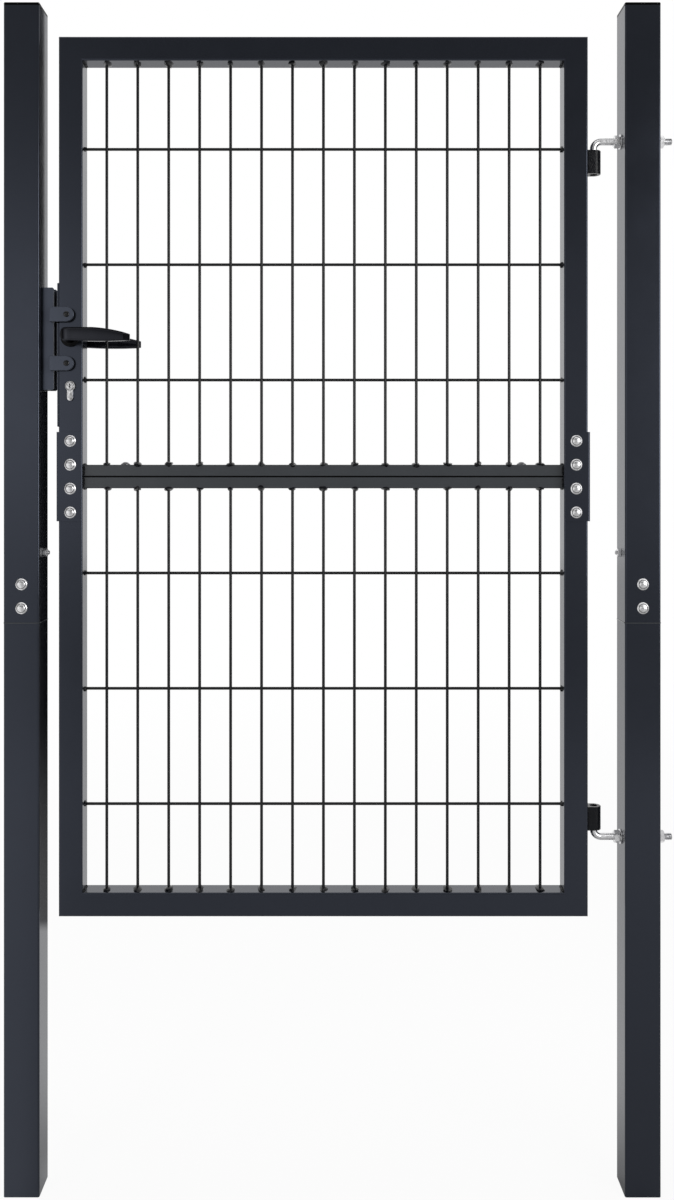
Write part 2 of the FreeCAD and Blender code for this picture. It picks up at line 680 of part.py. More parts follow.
def make_hinge(side, barrel_foot, rod_height, pin_foot, pin_top, bend_turn):
    """One hinge: a barrel on the stile, and a bent bolt through the post that its pin is on."""
    barrel = new_body(f"{side}_hinge_barrel")
    section = new_sketch(barrel, "XY")
    outline(section, [
        ("-pin_offset", "-barrel_radius"),
        ("0", "-barrel_radius", "barrel_radius"),
        ("barrel_radius", "0", "barrel_radius"),
        ("0", "barrel_radius"),
        ("-pin_offset", "barrel_radius"),
    ])
    circles(section, [("0", "0")], "rod_size / 2 + run_gap")
    pad(barrel, section, "barrel_height")
    place(barrel, HINGE_AXIS, up=barrel_foot)

    pin = cylinder("rod_size / 2", f"{pin_top} - ({pin_foot})", (HINGE_AXIS, "0", pin_foot))
    bend = doc.addObject("Part::Torus", "Bend")
    bind(bend, Radius1="rod_bend", Radius2="rod_size / 2")
    bend.Angle3 = 90
    bend_height = pin_top if side == "upper" else pin_foot
    place(bend, f"{HINGE_AXIS} + rod_bend", "0", bend_height, bend_turn)
    rod_start = f"({HINGE_AXIS} + rod_bend)"
    rod_length = f"{ROD_END} - {rod_start}"
    rod = cylinder("rod_size / 2", rod_length, (rod_start, "0", rod_height), TO_HINGE)
    piece(f"{side}_hinge_bolt", fused(pin, bend, rod))


def make_hinges():
    rising = Rotation(Vector(-1, 0, 0), Vector(0, 0, 1), Vector(0, 1, 0))
    falling = Rotation(Vector(-1, 0, 0), Vector(0, 0, -1), Vector(0, -1, 0))
    make_hinge("upper", UPPER_BARREL_FOOT, UPPER_ROD,
               f"({UPPER_BARREL_FOOT} + pin_end_inset)", f"({UPPER_ROD} - rod_bend)", rising)
    make_hinge("lower", LOWER_BARREL_FOOT, LOWER_ROD, f"({LOWER_ROD} + rod_bend)",
               f"({LOWER_BARREL_FOOT} + barrel_height - pin_end_inset)", falling)
    nuts = []
    washers = []
    for height in (UPPER_ROD, LOWER_ROD):
        for sign, turn in (("", TO_HINGE), ("-", TO_LATCH)):
            seat = f"{sign}(post_width / 2)"
            nut_seat = f"{sign}(post_width / 2 + washer_depth)"
            washers.append(ring("washer_size / 2", "rod_size / 2 + bolt_gap", "washer_depth",
                                (seat, "0", height), turn))
            nuts.append(nut("hinge_nut", "hinge_nut_depth", "rod_size",
                            (nut_seat, "0", height), turn))
    piece("hinge_nuts", together(nuts))
    piece("hinge_washers", together(washers))


def make_lock():
    """The lock in the latch stile: front plate, case, latch, dead bolt and cylinder."""
    bolt_boxes = [("latch", LATCH_FOOT, "latch_height"), ("dead", DEAD_BOLT_FOOT, "dead_height")]
    plate = f"({LEAF_LATCH_SIDE} - forend_plate)"
    forend = new_body("lock_forend")
    pad(forend, outline(new_sketch(forend, "XY"), square("forend_width")), FOREND_HEIGHT)
    place(forend, f"{plate} + forend_width / 2", up=FOREND_FOOT)
    trim = new_sketch(forend, "XY")
    back = "forend_plate - forend_width / 2"
    outline(trim, rectangle(back, "-forend_width", "forend_width", "forend_width"))
    pocket(forend, trim, f"2 * {FOREND_HEIGHT}")
    mouths = new_sketch(forend, "YZ", "-forend_width / 2")
    side = "latch_width / 2 + fit_gap"
    for name, foot, height in bolt_boxes:
        low = f"{foot} - {FOREND_FOOT} - fit_gap"
        outline(mouths, rectangle(f"-({side})", low, side, f"{low} + {height} + 2 * fit_gap"))
    pocket(forend, mouths, "2 * forend_plate")

    case = new_body("lock_case")
    case_height = f"({FOREND_HEIGHT} - 2 * case_inset)"
    case_foot = f"({FOREND_FOOT} + case_inset)"
    base = new_sketch(case, "XY")
    pad(case, outline(base, rectangle("0", "-case_width / 2", "case_depth", "case_width / 2")),
        case_height)
    place(case, LEAF_LATCH_SIDE, up=case_foot)
    drill(case, "XZ", [("lock_backset", f"{SPINDLE_HEIGHT} - {case_foot}")],
          SPINDLE_HOLE, "case_width")
    pocket(case, cylinder_profile(case, "lock_backset", f"{CYLINDER_HEIGHT} - {case_foot}",
                                  "fit_gap"), "case_width")
    rooms = new_sketch(case, "YZ")
    for name, foot, height in bolt_boxes:
        low = f"{foot} - {case_foot} - fit_gap"
        outline(rooms, rectangle(f"-({side})", low, side, f"{low} + {height} + 2 * fit_gap"))
    pocket(case, rooms, "lock_bolt_length")

    inner_end = f"({LEAF_LATCH_SIDE} + lock_bolt_length - fit_gap)"
    bolts = []
    for name, foot, height in bolt_boxes:
        proud = "latch_proud" if name == "latch" else "0"
        start = f"({plate} - {proud})"
        bolts.append(box(f"{inner_end} - {start}", "latch_width", height,
                         (start, "-latch_width / 2", foot)))
    piece("lock_bolts", together(bolts))

    lock_cylinder = new_body("lock_cylinder")
    profile = cylinder_profile(lock_cylinder, LEVER_AXIS, CYLINDER_HEIGHT, "0")
    pad(lock_cylinder, profile, "frame_tube + 2 * cylinder_proud", True)


def make_handle():
    """Two levers on one square spindle, each turning in a round rose on the stile."""
    piece("roses", together([
        ring("rose_radius", "neck_radius + run_gap", "rose_depth",
             (LEVER_AXIS, f"{sign}frame_tube / 2", SPINDLE_HEIGHT), turn)
        for sign, turn in (("-", TO_FRONT), ("", TO_BACK))
    ]))
    neck = "(lever_reach - frame_tube / 2 - fit_gap)"
    faces = [
        ("front_lever", "lever_reach", "frame_tube / 2 + fit_gap"),
        ("back_lever", "-lever_reach - lever_thick", "-lever_reach"),
    ]
    for label, grip_back, neck_start in faces:
        lever = new_body(label)
        grip = new_sketch(lever, "XZ", grip_back)
        outline(grip, [
            ("-lever_heel", "-lever_drop"),
            ("lever_length", "-lever_drop"),
            ("lever_length", "lever_tip_rise", "lever_bow"),
            ("lever_shoulder", "lever_rise"),
            ("-lever_heel", "lever_rise"),
        ])
        pad(lever, grip, "lever_thick")
        heel = -value("lever_heel")
        dress(lever, "Fillet", edges_where(
            lever.Shape, lambda a, b: near(a.x, heel) and near(b.x, heel) and near(a.z, b.z)
        ), "heel_round")
        outer = value("lever_reach + lever_thick")
        inner = value("lever_reach")
        dress(lever, "Fillet", edges_where(
            lever.Shape, lambda a, b: near(a.y, b.y)
            and (near(abs(a.y), outer) or near(abs(a.y), inner))
        ), "lever_round")
        pad(lever, circles(new_sketch(lever, "XZ", neck_start), [("0", "0")], "neck_radius"), neck)
        socket = new_sketch(lever, "XZ")
        outline(socket, square("spindle_size + 2 * bolt_gap"))
        pocket(lever, socket, "lever_reach + lever_thick - spindle_inset")
        place(lever, LEVER_AXIS, up=SPINDLE_HEIGHT)

    half = "(lever_reach + lever_thick - spindle_inset - fit_gap)"
    piece("spindle", box("spindle_size", f"2 * {half}", "spindle_size", (
        f"{LEVER_AXIS} - spindle_size / 2", f"-{half}", f"{SPINDLE_HEIGHT} - spindle_size / 2")))


def make_keep():
    """The keep on the latch post: a channel open to the leaf, with two stops across its front."""
    keep = new_body("keep")
    half = "keep_width / 2"
    inner = "(keep_width / 2 - keep_plate)"
    pad(keep, outline(new_sketch(keep, "XY"), [
        ("0", f"-{half}"),
        (KEEP_DEPTH, f"-{half}"),
        (KEEP_DEPTH, f"-{inner}"),
        ("keep_plate", f"-{inner}"),
        ("keep_plate", inner),
        (KEEP_DEPTH, inner),
        (KEEP_DEPTH, half),
        ("0", half),
    ]), "keep_height")
    dress(keep, "Fillet", edges_where(keep.Shape, on_line(0, value(half))), "keep_plate")
    edge = value(KEEP_DEPTH)
    ends = (0, value("keep_height"))
    dress(keep, "Chamfer", edges_where(
        keep.Shape, lambda a, b: near(a.x, edge) and near(b.x, edge) and near(a.z, b.z)
        and any(near(a.z, end) for end in ends)
    ), "keep_chamfer")
    drill(keep, "YZ", [("0", f"{height} - {KEEP_FOOT}") for height in KEEP_SCREWS],
          "keep_screw_size / 2 + bolt_gap", "2 * keep_plate")
    place(keep, LATCH_POST_FACE, up=KEEP_FOOT)

    shank = "(keep_plate + post_wall + keep_screw_end)"
    piece("keep_screws", together([
        round_bolt("keep_screw_head", "keep_screw_rise", "keep_screw_size", shank,
                   (f"{LATCH_POST_FACE} + keep_plate", "0", height), TO_HINGE)
        for height in KEEP_SCREWS
    ]))

    reach = "stop_reach"
    face = "(keep_width / 2)"
    rounding = "stop_height / 2"
    buffers = []
    for side in ("upper", "lower"):
        height = f"{KEEP_FOOT} + {side}_stop_rise"
        stop = new_body(f"{side}_stop")
        pad(stop, outline(new_sketch(stop, "XZ", STOP_BACK), [
            ("-stop_plate", f"-{rounding}"),
            (reach, f"-{rounding}", rounding),
            (f"{reach} + {rounding}", "0", rounding),
            (reach, rounding),
            ("-stop_plate", rounding),
        ]), "stop_plate")
        leg = new_sketch(stop, "XZ", face)
        outline(leg, rectangle("-stop_plate", f"-{rounding}", "0", rounding))
        pad(stop, leg, f"{STOP_BACK} - {face}")
        hole = circles(new_sketch(stop, "XZ", STOP_BACK), [(reach, "0")], "buffer_stem + bolt_gap")
        pocket(stop, hole, "2 * stop_plate")
        place(stop, KEEP_EDGE, up=height)
        buffers.append(make_buffer(f"{KEEP_EDGE} + {reach}", height))
    piece("stop_buffers", together(buffers))


def make_buffer(across, up):
    """A rubber button that is pressed through a stop: a thick pad behind, a small dome in front."""
    padding = cylinder("buffer_radius", "buffer_depth", ("0", "0", "-buffer_depth"))
    stem = cylinder("buffer_stem", "stop_plate", ("0", "0", "0"))
    button = dome("2 * buffer_button", "buffer_button_rise", "stop_plate")
    return place(fused(padding, stem, button), across, f"-{STOP_BACK}", up, TO_FRONT)


def check_and_write():
    """Stop on anything that failed, then write one file for each piece."""
    doc.recompute()
    for thing in doc.Objects:
        if "Invalid" in thing.State or "Error" in thing.State:
            raise RuntimeError(f"{thing.Name} is {thing.State}")
    for thing in pieces:
        if thing.Shape.isNull() or not thing.Shape.isValid():
            raise RuntimeError(f"{thing.Label} has no valid shape")
    os.makedirs("parts", exist_ok=True)
    for thing in pieces:
        thing.Shape.exportStep(f"parts/{thing.Label}.step")
    print(len(pieces), "pieces written")


rod_hole = "rod_size / 2 + bolt_gap"
keep_screw_hole = "keep_screw_size / 2 + bolt_gap"
make_post("hinge", "0", TO_HINGE, [("upper", UPPER_ROD, rod_hole), ("lower", LOWER_ROD, rod_hole)])
make_post("latch", LATCH_POST_MIDDLE, TO_LATCH,
          [("upper", height, keep_screw_hole) for height in KEEP_SCREWS])
make_hinges()
make_frames()
make_mesh("lower_mesh", "leaf_foot + frame_tube")
make_mesh("upper_mesh", f"{SEAM} + mid_tube")
make_joint_channels()
make_lock()
make_handle()
make_keep()
check_and_write()
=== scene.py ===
"""Finishes, small parts and studio of a single-leaf garden gate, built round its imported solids.

Metres, +Z up, +X towards the hinge post, +Y to the back, where the leaf opens to.
"""

import json
import math

import bpy
import numpy as np
from bpy.props import FloatProperty, FloatVectorProperty, IntProperty, PointerProperty
from bpy.types import Operator, Panel, PropertyGroup
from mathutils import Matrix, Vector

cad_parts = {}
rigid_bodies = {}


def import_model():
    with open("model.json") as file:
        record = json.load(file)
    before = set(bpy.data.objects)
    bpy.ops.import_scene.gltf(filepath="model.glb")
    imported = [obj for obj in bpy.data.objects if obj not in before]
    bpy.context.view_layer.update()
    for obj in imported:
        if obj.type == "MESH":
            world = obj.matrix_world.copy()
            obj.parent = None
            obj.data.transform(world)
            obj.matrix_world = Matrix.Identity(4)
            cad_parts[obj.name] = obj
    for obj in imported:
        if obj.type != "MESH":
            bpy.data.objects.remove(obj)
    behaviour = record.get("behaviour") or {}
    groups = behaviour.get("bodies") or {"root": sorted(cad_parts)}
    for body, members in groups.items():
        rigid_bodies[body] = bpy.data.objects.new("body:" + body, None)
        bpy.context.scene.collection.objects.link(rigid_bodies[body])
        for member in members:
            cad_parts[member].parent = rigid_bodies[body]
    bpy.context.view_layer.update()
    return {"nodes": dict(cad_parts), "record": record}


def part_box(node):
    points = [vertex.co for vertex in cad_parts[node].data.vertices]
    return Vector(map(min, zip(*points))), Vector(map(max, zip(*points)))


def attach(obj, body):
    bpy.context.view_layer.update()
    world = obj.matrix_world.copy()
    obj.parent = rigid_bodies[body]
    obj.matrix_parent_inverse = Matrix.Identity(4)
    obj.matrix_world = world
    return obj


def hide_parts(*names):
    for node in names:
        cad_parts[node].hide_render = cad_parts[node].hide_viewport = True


bl_info = {
    "name": "Garden gate",
    "version": (1, 0, 0),
    "blender": (4, 5, 0),
    "location": "3D View > Sidebar > Gate",
    "description": "Finishes, fastenings, levers and studio of a coated steel garden gate",
    "category": "Object",
}

for leftover in list(bpy.data.objects):
    bpy.data.objects.remove(leftover)
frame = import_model()
NODES = frame["nodes"]
BODY_OF = {node: body for body, members in frame["record"]["behaviour"]["bodies"].items()
           for node in members}
MM = 0.001
POST_CORNER = 4 * MM
LENS = (-0.512, -1.997, 1.217)

# Each aim gives a piece's own three axes in the scene; its own +Z points where the name says.
AIMS = {
    "up": ((1, 0, 0), (0, 1, 0), (0, 0, 1)),
    "down": ((1, 0, 0), (0, -1, 0), (0, 0, -1)),
    "front": ((1, 0, 0), (0, 0, 1), (0, -1, 0)),
    "back": ((0, 0, 1), (1, 0, 0), (0, 1, 0)),
    "hinge": ((0, 1, 0), (0, 0, 1), (1, 0, 0)),
    "latch": ((0, -1, 0), (0, 0, 1), (-1, 0, 0)),
}


def colour_property(name, description, default):
    return FloatVectorProperty(name=name, description=description, default=default,
                               subtype="COLOR", size=3, min=0, max=1)


def length_property(name, description, default):
    return FloatProperty(name=name, description=description, default=default,
                         unit="LENGTH", min=0)


class GateFinishes(PropertyGroup):
    """Colours of the gate's materials."""

    coat: colour_property("Powder coat", "Colour of the coated tube and plate",
                          (0.0078, 0.0088, 0.0113))
    # A lighter copy of the powder coat: painted light on the keep and its stops, which also sets
    # the stops off from the stile.
    plate: colour_property("Lit plate coat", "Colour of the coated keep and its stops",
                           (0.0290, 0.0330, 0.0420))
    # A lighter copy of the powder coat: painted light on the middle rails and the posts' seam
    # lips.
    rail: colour_property("Lit rail coat", "Colour of the coated middle rails",
                          (0.0330, 0.0370, 0.0420))
    wire: colour_property("Wire coat", "Colour of the coated mesh wires",
                          (0.0040, 0.0044, 0.0052))
    weld: colour_property("Weld coat", "Colour of the coated welds and hinge barrels",
                          (0.0030, 0.0034, 0.0050))
    zinc: colour_property("Zinc", "Colour of the plated bolts, nuts and washers",
                          (0.76, 0.76, 0.77))
    nut: colour_property("Nut", "Colour of the bright plated nuts", (0.86, 0.86, 0.87))
    # A darker copy of the zinc for the rail screws: painted shade over the whole screw.
    shaded_zinc: colour_property("Shaded zinc", "Colour of the shaded rail screws",
                          (0.20, 0.20, 0.21))
    # Painted shade: the colour of the thin dark rings laid in the bolts' head grooves.
    groove: colour_property("Head groove shade", "Colour in the grooves of the bolts' heads",
                            (0.030, 0.030, 0.032))
    nickel: colour_property("Nickel", "Colour of the lock cylinder", (0.62, 0.62, 0.63))
    lever: colour_property("Lever", "Colour of the levers and roses", (0.0012, 0.0012, 0.0018))
    # The caps' black also colours painted shade: the dark rings at the cylinder's plug and the
    # strip between the middle rails.
    cap: colour_property("Post cap", "Colour of the moulded post caps", (0.0015, 0.0015, 0.0017))
    rubber: colour_property("Buffer", "Colour of the stops' buffers", (0.0040, 0.0040, 0.0045))


class GateFastenings(PropertyGroup):
    """Sizes of the bolts, nuts and screws."""

    bolt: length_property("Bolt", "Thread size of the carriage bolts", 8 * MM)
    head: length_property("Bolt head", "Width of a carriage bolt's head", 20 * MM)
    head_rise: length_property("Head rise", "Height of a carriage bolt's head", 4.5 * MM)
    nut: length_property("Nut", "Width of a carriage bolt's nut", 13 * MM)
    nut_depth: length_property("Nut depth", "Thickness of a carriage bolt's nut", 6.5 * MM)
    hinge_bolt: length_property("Hinge bolt", "Thread size of the hinge bolts", 12 * MM)
    hinge_bend: length_property("Hinge bend", "Radius of the hinge bolts' bend", 12 * MM)
    hinge_nut: length_property("Hinge nut", "Width of a hinge bolt's nut", 19 * MM)
    hinge_nut_depth: length_property("Hinge nut depth", "Thickness of its nut", 10 * MM)
    washer: length_property("Washer", "Width of a hinge bolt's washer", 25 * MM)
    washer_depth: length_property("Washer depth", "Thickness of its washer", 2.5 * MM)
    play: length_property("Play", "Gap between a thread and its nut or washer", 0.05 * MM)
    bolt_pitch: length_property("Bolt thread", "Thread pitch of the carriage bolts", 1.25 * MM)
    hinge_pitch: length_property("Hinge thread", "Thread pitch of the hinge bolts", 1.75 * MM)
    head_rim: length_property("Head rim", "Straight rim of a carriage bolt's head", 0.9 * MM)
    plate_round: length_property("Plate edge", "Rounding of the plates' edges", 1.0 * MM)
    cut_round: length_property("Tube end", "Rounding of the post tubes' cut ends", 0.8 * MM)
    stop_round: length_property("Stop edge", "Rounding of the stops' edges", 1.45 * MM)
    seam_lip: length_property("Seam lip", "Radius of the coat's lip at the posts' seams",
                              1.0 * MM)
    tail: length_property("Bolt tail", "Nut and thread beyond a carriage bolt's grip", 10 * MM)


class GateMesh(PropertyGroup):
    """Sizes of the wires and of the welds that hold them."""

    wire: length_property("Wire", "Diameter of the mesh wires", 5 * MM)
    column_pitch: length_property("Column pitch", "Spacing of the upright wires", 52.5 * MM)
    row_pitch: length_property("Row pitch", "Spacing of the level wires", 196 * MM)
    columns: IntProperty(name="Columns", description="Upright wires", default=15, min=1)
    rows: IntProperty(name="Rows", description="Level wires in one frame", default=3, min=1)
    sunk: length_property("Sunk", "How far the crossing wires are pressed together", 0.5 * MM)
    dab: length_property("Weld dab", "Radius of the weld at a wire's end", 6.0 * MM)
    bead: length_property("Weld bead", "Radius of the frame's weld beads", 2.4 * MM)


class GateLevers(PropertyGroup):
    """Shape of the levers."""

    facet: length_property("Tip facet", "Length of the facet at a lever's tip", 9.5 * MM)
    facet_fall: length_property("Facet fall", "How far the tip's facet falls back", 9.0 * MM)
    belly: length_property("Belly", "How far the lever's lower edge bellies", 1.4 * MM)
    face_start: length_property("Face start", "Where the flat face begins beyond the axis",
                                4.5 * MM)
    bevel: length_property("Bevel", "Cut along the lever's upper front edge", 3.2 * MM)


class GateStudio(PropertyGroup):
    """Light that the gate is shown in."""

    ambient: FloatProperty(name="Ambient", description="Strength of the light from all round",
                           default=0.60, min=0)
    left: FloatProperty(name="Left lamp", description="Power of the lamp at the front left",
                        default=32, min=0, unit="POWER")
    right: FloatProperty(name="Right lamp", description="Power of the lamp at the front right",
                         default=45, min=0, unit="POWER")


# Surfaces. A surface is an array of rings, rows by columns by three; each ring runs anticlockwise
# about the way that the rows advance, so that the faces point outwards.


def angles(count):
    return np.linspace(0, 2 * math.pi, count, endpoint=False)


def lathe(profile, sides=32):
    """A profile turned about Z: x = r cos a, y = r sin a; r and z may also change with a."""
    around = angles(sides)
    rings = np.array([np.broadcast_arrays(*pair, around)[:2] for pair in profile])
    radius, height = rings[:, 0], rings[:, 1]
    return np.stack([radius * np.cos(around), radius * np.sin(around), height], axis=-1)


def placed(surface, at, aim="up"):
    """The surface with its own axes turned to an aim and its origin moved to a place."""
    return surface @ np.array(AIMS[aim], float) + np.array(at, float)


def swept(centres, tangents, radii, side=(0, 1, 0)):
    """Rings about a flat path: centre + r (cos a (side x tangent) + sin a side)."""
    around = angles(radii.shape[1])
    side = np.array(side, float)
    across = np.cross(side, tangents)[:, None, :]
    return (centres[:, None, :] + radii[:, :, None]
            * (across * np.cos(around)[:, None] + side * np.sin(around)[:, None]))


def square_loop(half, corner, thick, columns=8):
    """A thin rod bent round a square of rounded corners: path + thick (cos a out + sin a up)."""
    steps = 6
    turn = np.linspace(0, math.pi / 2, steps)
    turn = np.concatenate([turn + quarter * math.pi / 2 for quarter in range(4)])
    out = np.column_stack([np.cos(turn), np.sin(turn)])
    middle = np.repeat([(1, 1), (-1, 1), (-1, -1), (1, -1)], steps, axis=0)
    path = middle * (half - corner) + out * corner
    around = angles(columns)[::-1, None]
    level = path[:, None, :] + thick * np.cos(around) * out[:, None, :]
    up = np.broadcast_to(thick * np.sin(around), (*level.shape[:2], 1))
    return np.concatenate([level, up], axis=-1)


def thread_radii(along, radius, pitch, sides, start):
    """Rod radius less a triangle wave that climbs one pitch a turn, beyond the start."""
    depth = 0.54 * pitch
    turns = along[:, None] / pitch - angles(sides) / (2 * math.pi)
    wave = np.abs(2 * (turns - np.floor(turns)) - 1)
    fade = np.clip((along[:, None] - start) / pitch, 0, 1)
    return radius - depth * wave * fade


def lump(at, radii, seed, rows=9, columns=12, amount=0.16):
    """An ellipsoid whose radius swells and dips by three random waves over its surface."""
    draw = np.random.default_rng(seed)
    polar = np.linspace(0.12, math.pi - 0.12, rows)[::-1, None]
    around = angles(columns)[None, :]
    ball = np.stack([np.sin(polar) * np.cos(around), np.sin(polar) * np.sin(around),
                     np.cos(polar) + 0 * around], axis=-1)
    swell = 1
    for wave in draw.normal(0, 2.2, (3, 3)):
        swell = swell + amount * np.sin(ball @ wave + draw.uniform(0, 6.28))[..., None] / 1.7
    return ball * swell * np.array(radii, float) + np.array(at, float)


def bead(start, end, radius, seed, pitch=2.6 * MM, columns=10):
    """A weld bead: a rod whose radius swells once a pitch, with a little random wander."""
    start, end = np.array(start, float), np.array(end, float)
    length = np.linalg.norm(end - start)
    rows = max(int(length / pitch * 5), 6)
    share = np.linspace(0, 1, rows)
    along = (end - start) / length
    side = np.array((0, 0, 1.0)) if abs(along[2]) < 0.9 else np.array((0, 1.0, 0))
    draw = np.random.default_rng(seed)
    swell = 0.80 + 0.22 * np.abs(np.sin(share * length / pitch * math.pi))
    taper = np.sqrt(np.clip(1 - (2 * np.abs(share - 0.5)) ** 6, 0.08, 1))
    rough = draw.normal(1, 0.05, (rows, columns))
    radii = radius * (swell * taper)[:, None] * rough
    wander = draw.normal(0, 0.08 * radius, (rows, 3))
    centres = start + share[:, None] * (end - start) + wander
    return swept(centres, np.broadcast_to(along, centres.shape), radii, side)


def hexagon(around, flats):
    """Distance from the centre to a hexagon's edge in each direction; a flat faces own +X."""
    sector = math.pi / 3
    return flats / 2 / np.cos((around + sector / 2) % sector - sector / 2)


def hex_nut(flats, depth, bore, rim=0.5 * MM):
    """A nut: a hexagon whose corners are cut by a cone at both ends, round a bore."""
    sides = 36
    edge = hexagon(angles(sides), flats)
    face = 0.475 * flats
    cut = (edge - face) * math.tan(math.radians(30))
    return lathe([(face, 0), (edge, cut), (edge, depth - cut), (face, depth), (bore + rim, depth),
                  (bore, depth - rim), (bore, rim), (bore + rim, 0)], sides)


def washer(outer, inner, depth, edge=0.4 * MM):
    """A flat ring with cut edges, as a closed profile turned about Z."""
    return lathe([(inner, 0), (outer - edge, 0), (outer, edge), (outer, depth - edge),
                  (outer - edge, depth), (inner, depth)], 40)


def head_profile(radius, rise, rim):
    """A low dome with a faint ring: rim + (rise - rim)(1 - (r / R)^2.2) - a narrow groove."""
    share = np.concatenate([np.linspace(1, 0.62, 14), np.linspace(0.56, 0.02, 8)])
    groove = 0.55 * MM * np.exp(-((share - 0.74) / 0.065) ** 2)
    dome = rim + (rise - rim) * (1 - share ** 2.2) - groove
    return [(radius - 0.3 * MM, 0), (radius, 0.3 * MM), (radius, rim * 0.8)] + list(
        zip(radius * share * 0.985, dome))


def carriage_bolt(size, head, rise, rim, length, pitch, threaded, sides=28):
    """A bolt whose head lies on the plane z = 0; its shank runs down and ends in a thread."""
    radius = size / 2
    tail = np.arange(0, threaded, pitch / 5)
    radii = thread_radii(threaded - tail, radius, pitch, sides, 0)
    end_cut = np.clip(radius - pitch + tail, 0, radius)[:, None]
    profile = list(zip(np.minimum(radii, end_cut), tail - length))
    profile += [(radius, threaded - length), (radius, 0)]
    return lathe(profile + head_profile(head / 2, rise, rim), sides)


def socket_screw(head, rise, size, length, key):
    """A round-headed screw with a hexagon socket; its head lies on the plane z = 0."""
    sides = 36
    radius = head / 2
    edge = hexagon(angles(sides), key)
    return lathe([(size / 2, -length), (size / 2, 0), (radius - 0.2 * MM, 0), (radius, 0.5 * MM),
                  (radius * 0.94, rise * 0.55), (radius * 0.78, rise * 0.88),
                  (radius * 0.62, rise), (edge, rise), (edge, rise * 0.35)], sides)


def tube_faces(surface, start, looped):
    """Quads between neighbouring rings, and a fan on each open end, as vertex numbers."""
    rows, columns = surface.shape[:2]
    row = np.arange(rows if looped else rows - 1)[:, None]
    column = np.arange(columns)[None, :]
    following = (column + 1) % columns
    above = (row + 1) % rows
    quads = np.stack([row * columns + column, row * columns + following,
                      above * columns + following, above * columns + column], axis=-1)
    faces = (quads.reshape(-1, 4) + start).tolist()
    points = surface.reshape(-1, 3)
    if not looped:
        low, high = start + rows * columns, start + rows * columns + 1
        points = np.vstack([points, surface[0].mean(axis=0), surface[-1].mean(axis=0)])
        first = start + column[0]
        last = first + (rows - 1) * columns
        step = start + following[0]
        faces += np.stack([np.full(columns, low), step, first], axis=-1).tolist()
        faces += np.stack([np.full(columns, high), last, step + (rows - 1) * columns],
                          axis=-1).tolist()
    return points, faces


def build(name, surfaces, material, body, replaced=(), sharp=35, looped=False):
    """One piece from its surfaces: it rides on a body and stands for the nodes it replaces."""
    points, faces = [], []
    count = 0
    for surface in surfaces:
        more, quads = tube_faces(surface, count, looped)
        points.append(more)
        faces += quads
        count += len(more)
    mesh = bpy.data.meshes.new(name)
    mesh.from_pydata(np.concatenate(points).tolist(), [], faces)
    mesh.validate()
    mesh.polygons.foreach_set("use_smooth", np.ones(len(mesh.polygons), bool))
    mesh.set_sharp_from_angle(angle=math.radians(sharp))
    mesh.materials.append(material)
    piece = bpy.data.objects.new(name, mesh)
    bpy.context.scene.collection.objects.link(piece)
    if replaced:
        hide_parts(*replaced)
    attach(piece, body)
    return piece


# Materials.


def add(tree, kind, **settings):
    node = tree.nodes.new("ShaderNode" + kind if kind not in ("NodeGroupInput", "NodeGroupOutput")
                          else kind)
    for name, setting in settings.items():
        setattr(node, name, setting)
    return node


def wire_up(tree, *pairs):
    for source, target in pairs:
        tree.links.new(source, target)


class Value:
    """A number socket in a node tree; each sum, product or ramp of it adds one node."""

    def __init__(self, tree, socket):
        self.tree = tree
        self.socket = socket

    def joined(self, operation, first, second):
        node = add(self.tree, "Math", operation=operation)
        for number, side in enumerate((first, second)):
            if isinstance(side, Value):
                self.tree.links.new(side.socket, node.inputs[number])
            else:
                node.inputs[number].default_value = side
        return Value(self.tree, node.outputs[0])

    def __add__(self, other):
        return self.joined("ADD", self, other)

    def __sub__(self, other):
        return self.joined("SUBTRACT", self, other)

    def __rsub__(self, other):
        return self.joined("SUBTRACT", other, self)

    def __mul__(self, other):
        return self.joined("MULTIPLY", self, other)

    __radd__ = __add__
    __rmul__ = __mul__

    def larger(self, other):
        return self.joined("MAXIMUM", self, other)

    def ramp(self, low, high):
        """0 up to low, 1 from high on, and a smooth step between."""
        node = add(self.tree, "MapRange", interpolation_type="SMOOTHSTEP")
        node.inputs["From Min"].default_value = low
        node.inputs["From Max"].default_value = high
        self.tree.links.new(self.socket, node.inputs["Value"])
        return Value(self.tree, node.outputs[0])


def coordinates(tree, kind):
    """X, Y and Z of a point, or of a direction in the world's tree, as values."""
    part = add(tree, "SeparateXYZ")
    tree.links.new(add(tree, "TexCoord").outputs[kind], part.inputs[0])
    return [Value(tree, part.outputs[axis]) for axis in "XYZ"]


def rays(tree, *kinds):
    """1 on rays of each kind and 0 on others, as values."""
    path = add(tree, "LightPath").outputs
    return [Value(tree, path[f"Is {kind} Ray"]) for kind in kinds]


def noise(tree, vector, scale, detail=2.0):
    """Noise over the object's own coordinates; the scale is a value or a number."""
    node = add(tree, "TexNoise")
    node.inputs["Detail"].default_value = detail
    tree.links.new(vector, node.inputs["Vector"])
    if isinstance(scale, Value):
        tree.links.new(scale.socket, node.inputs["Scale"])
    else:
        node.inputs["Scale"].default_value = scale
    return Value(tree, node.outputs["Fac"])


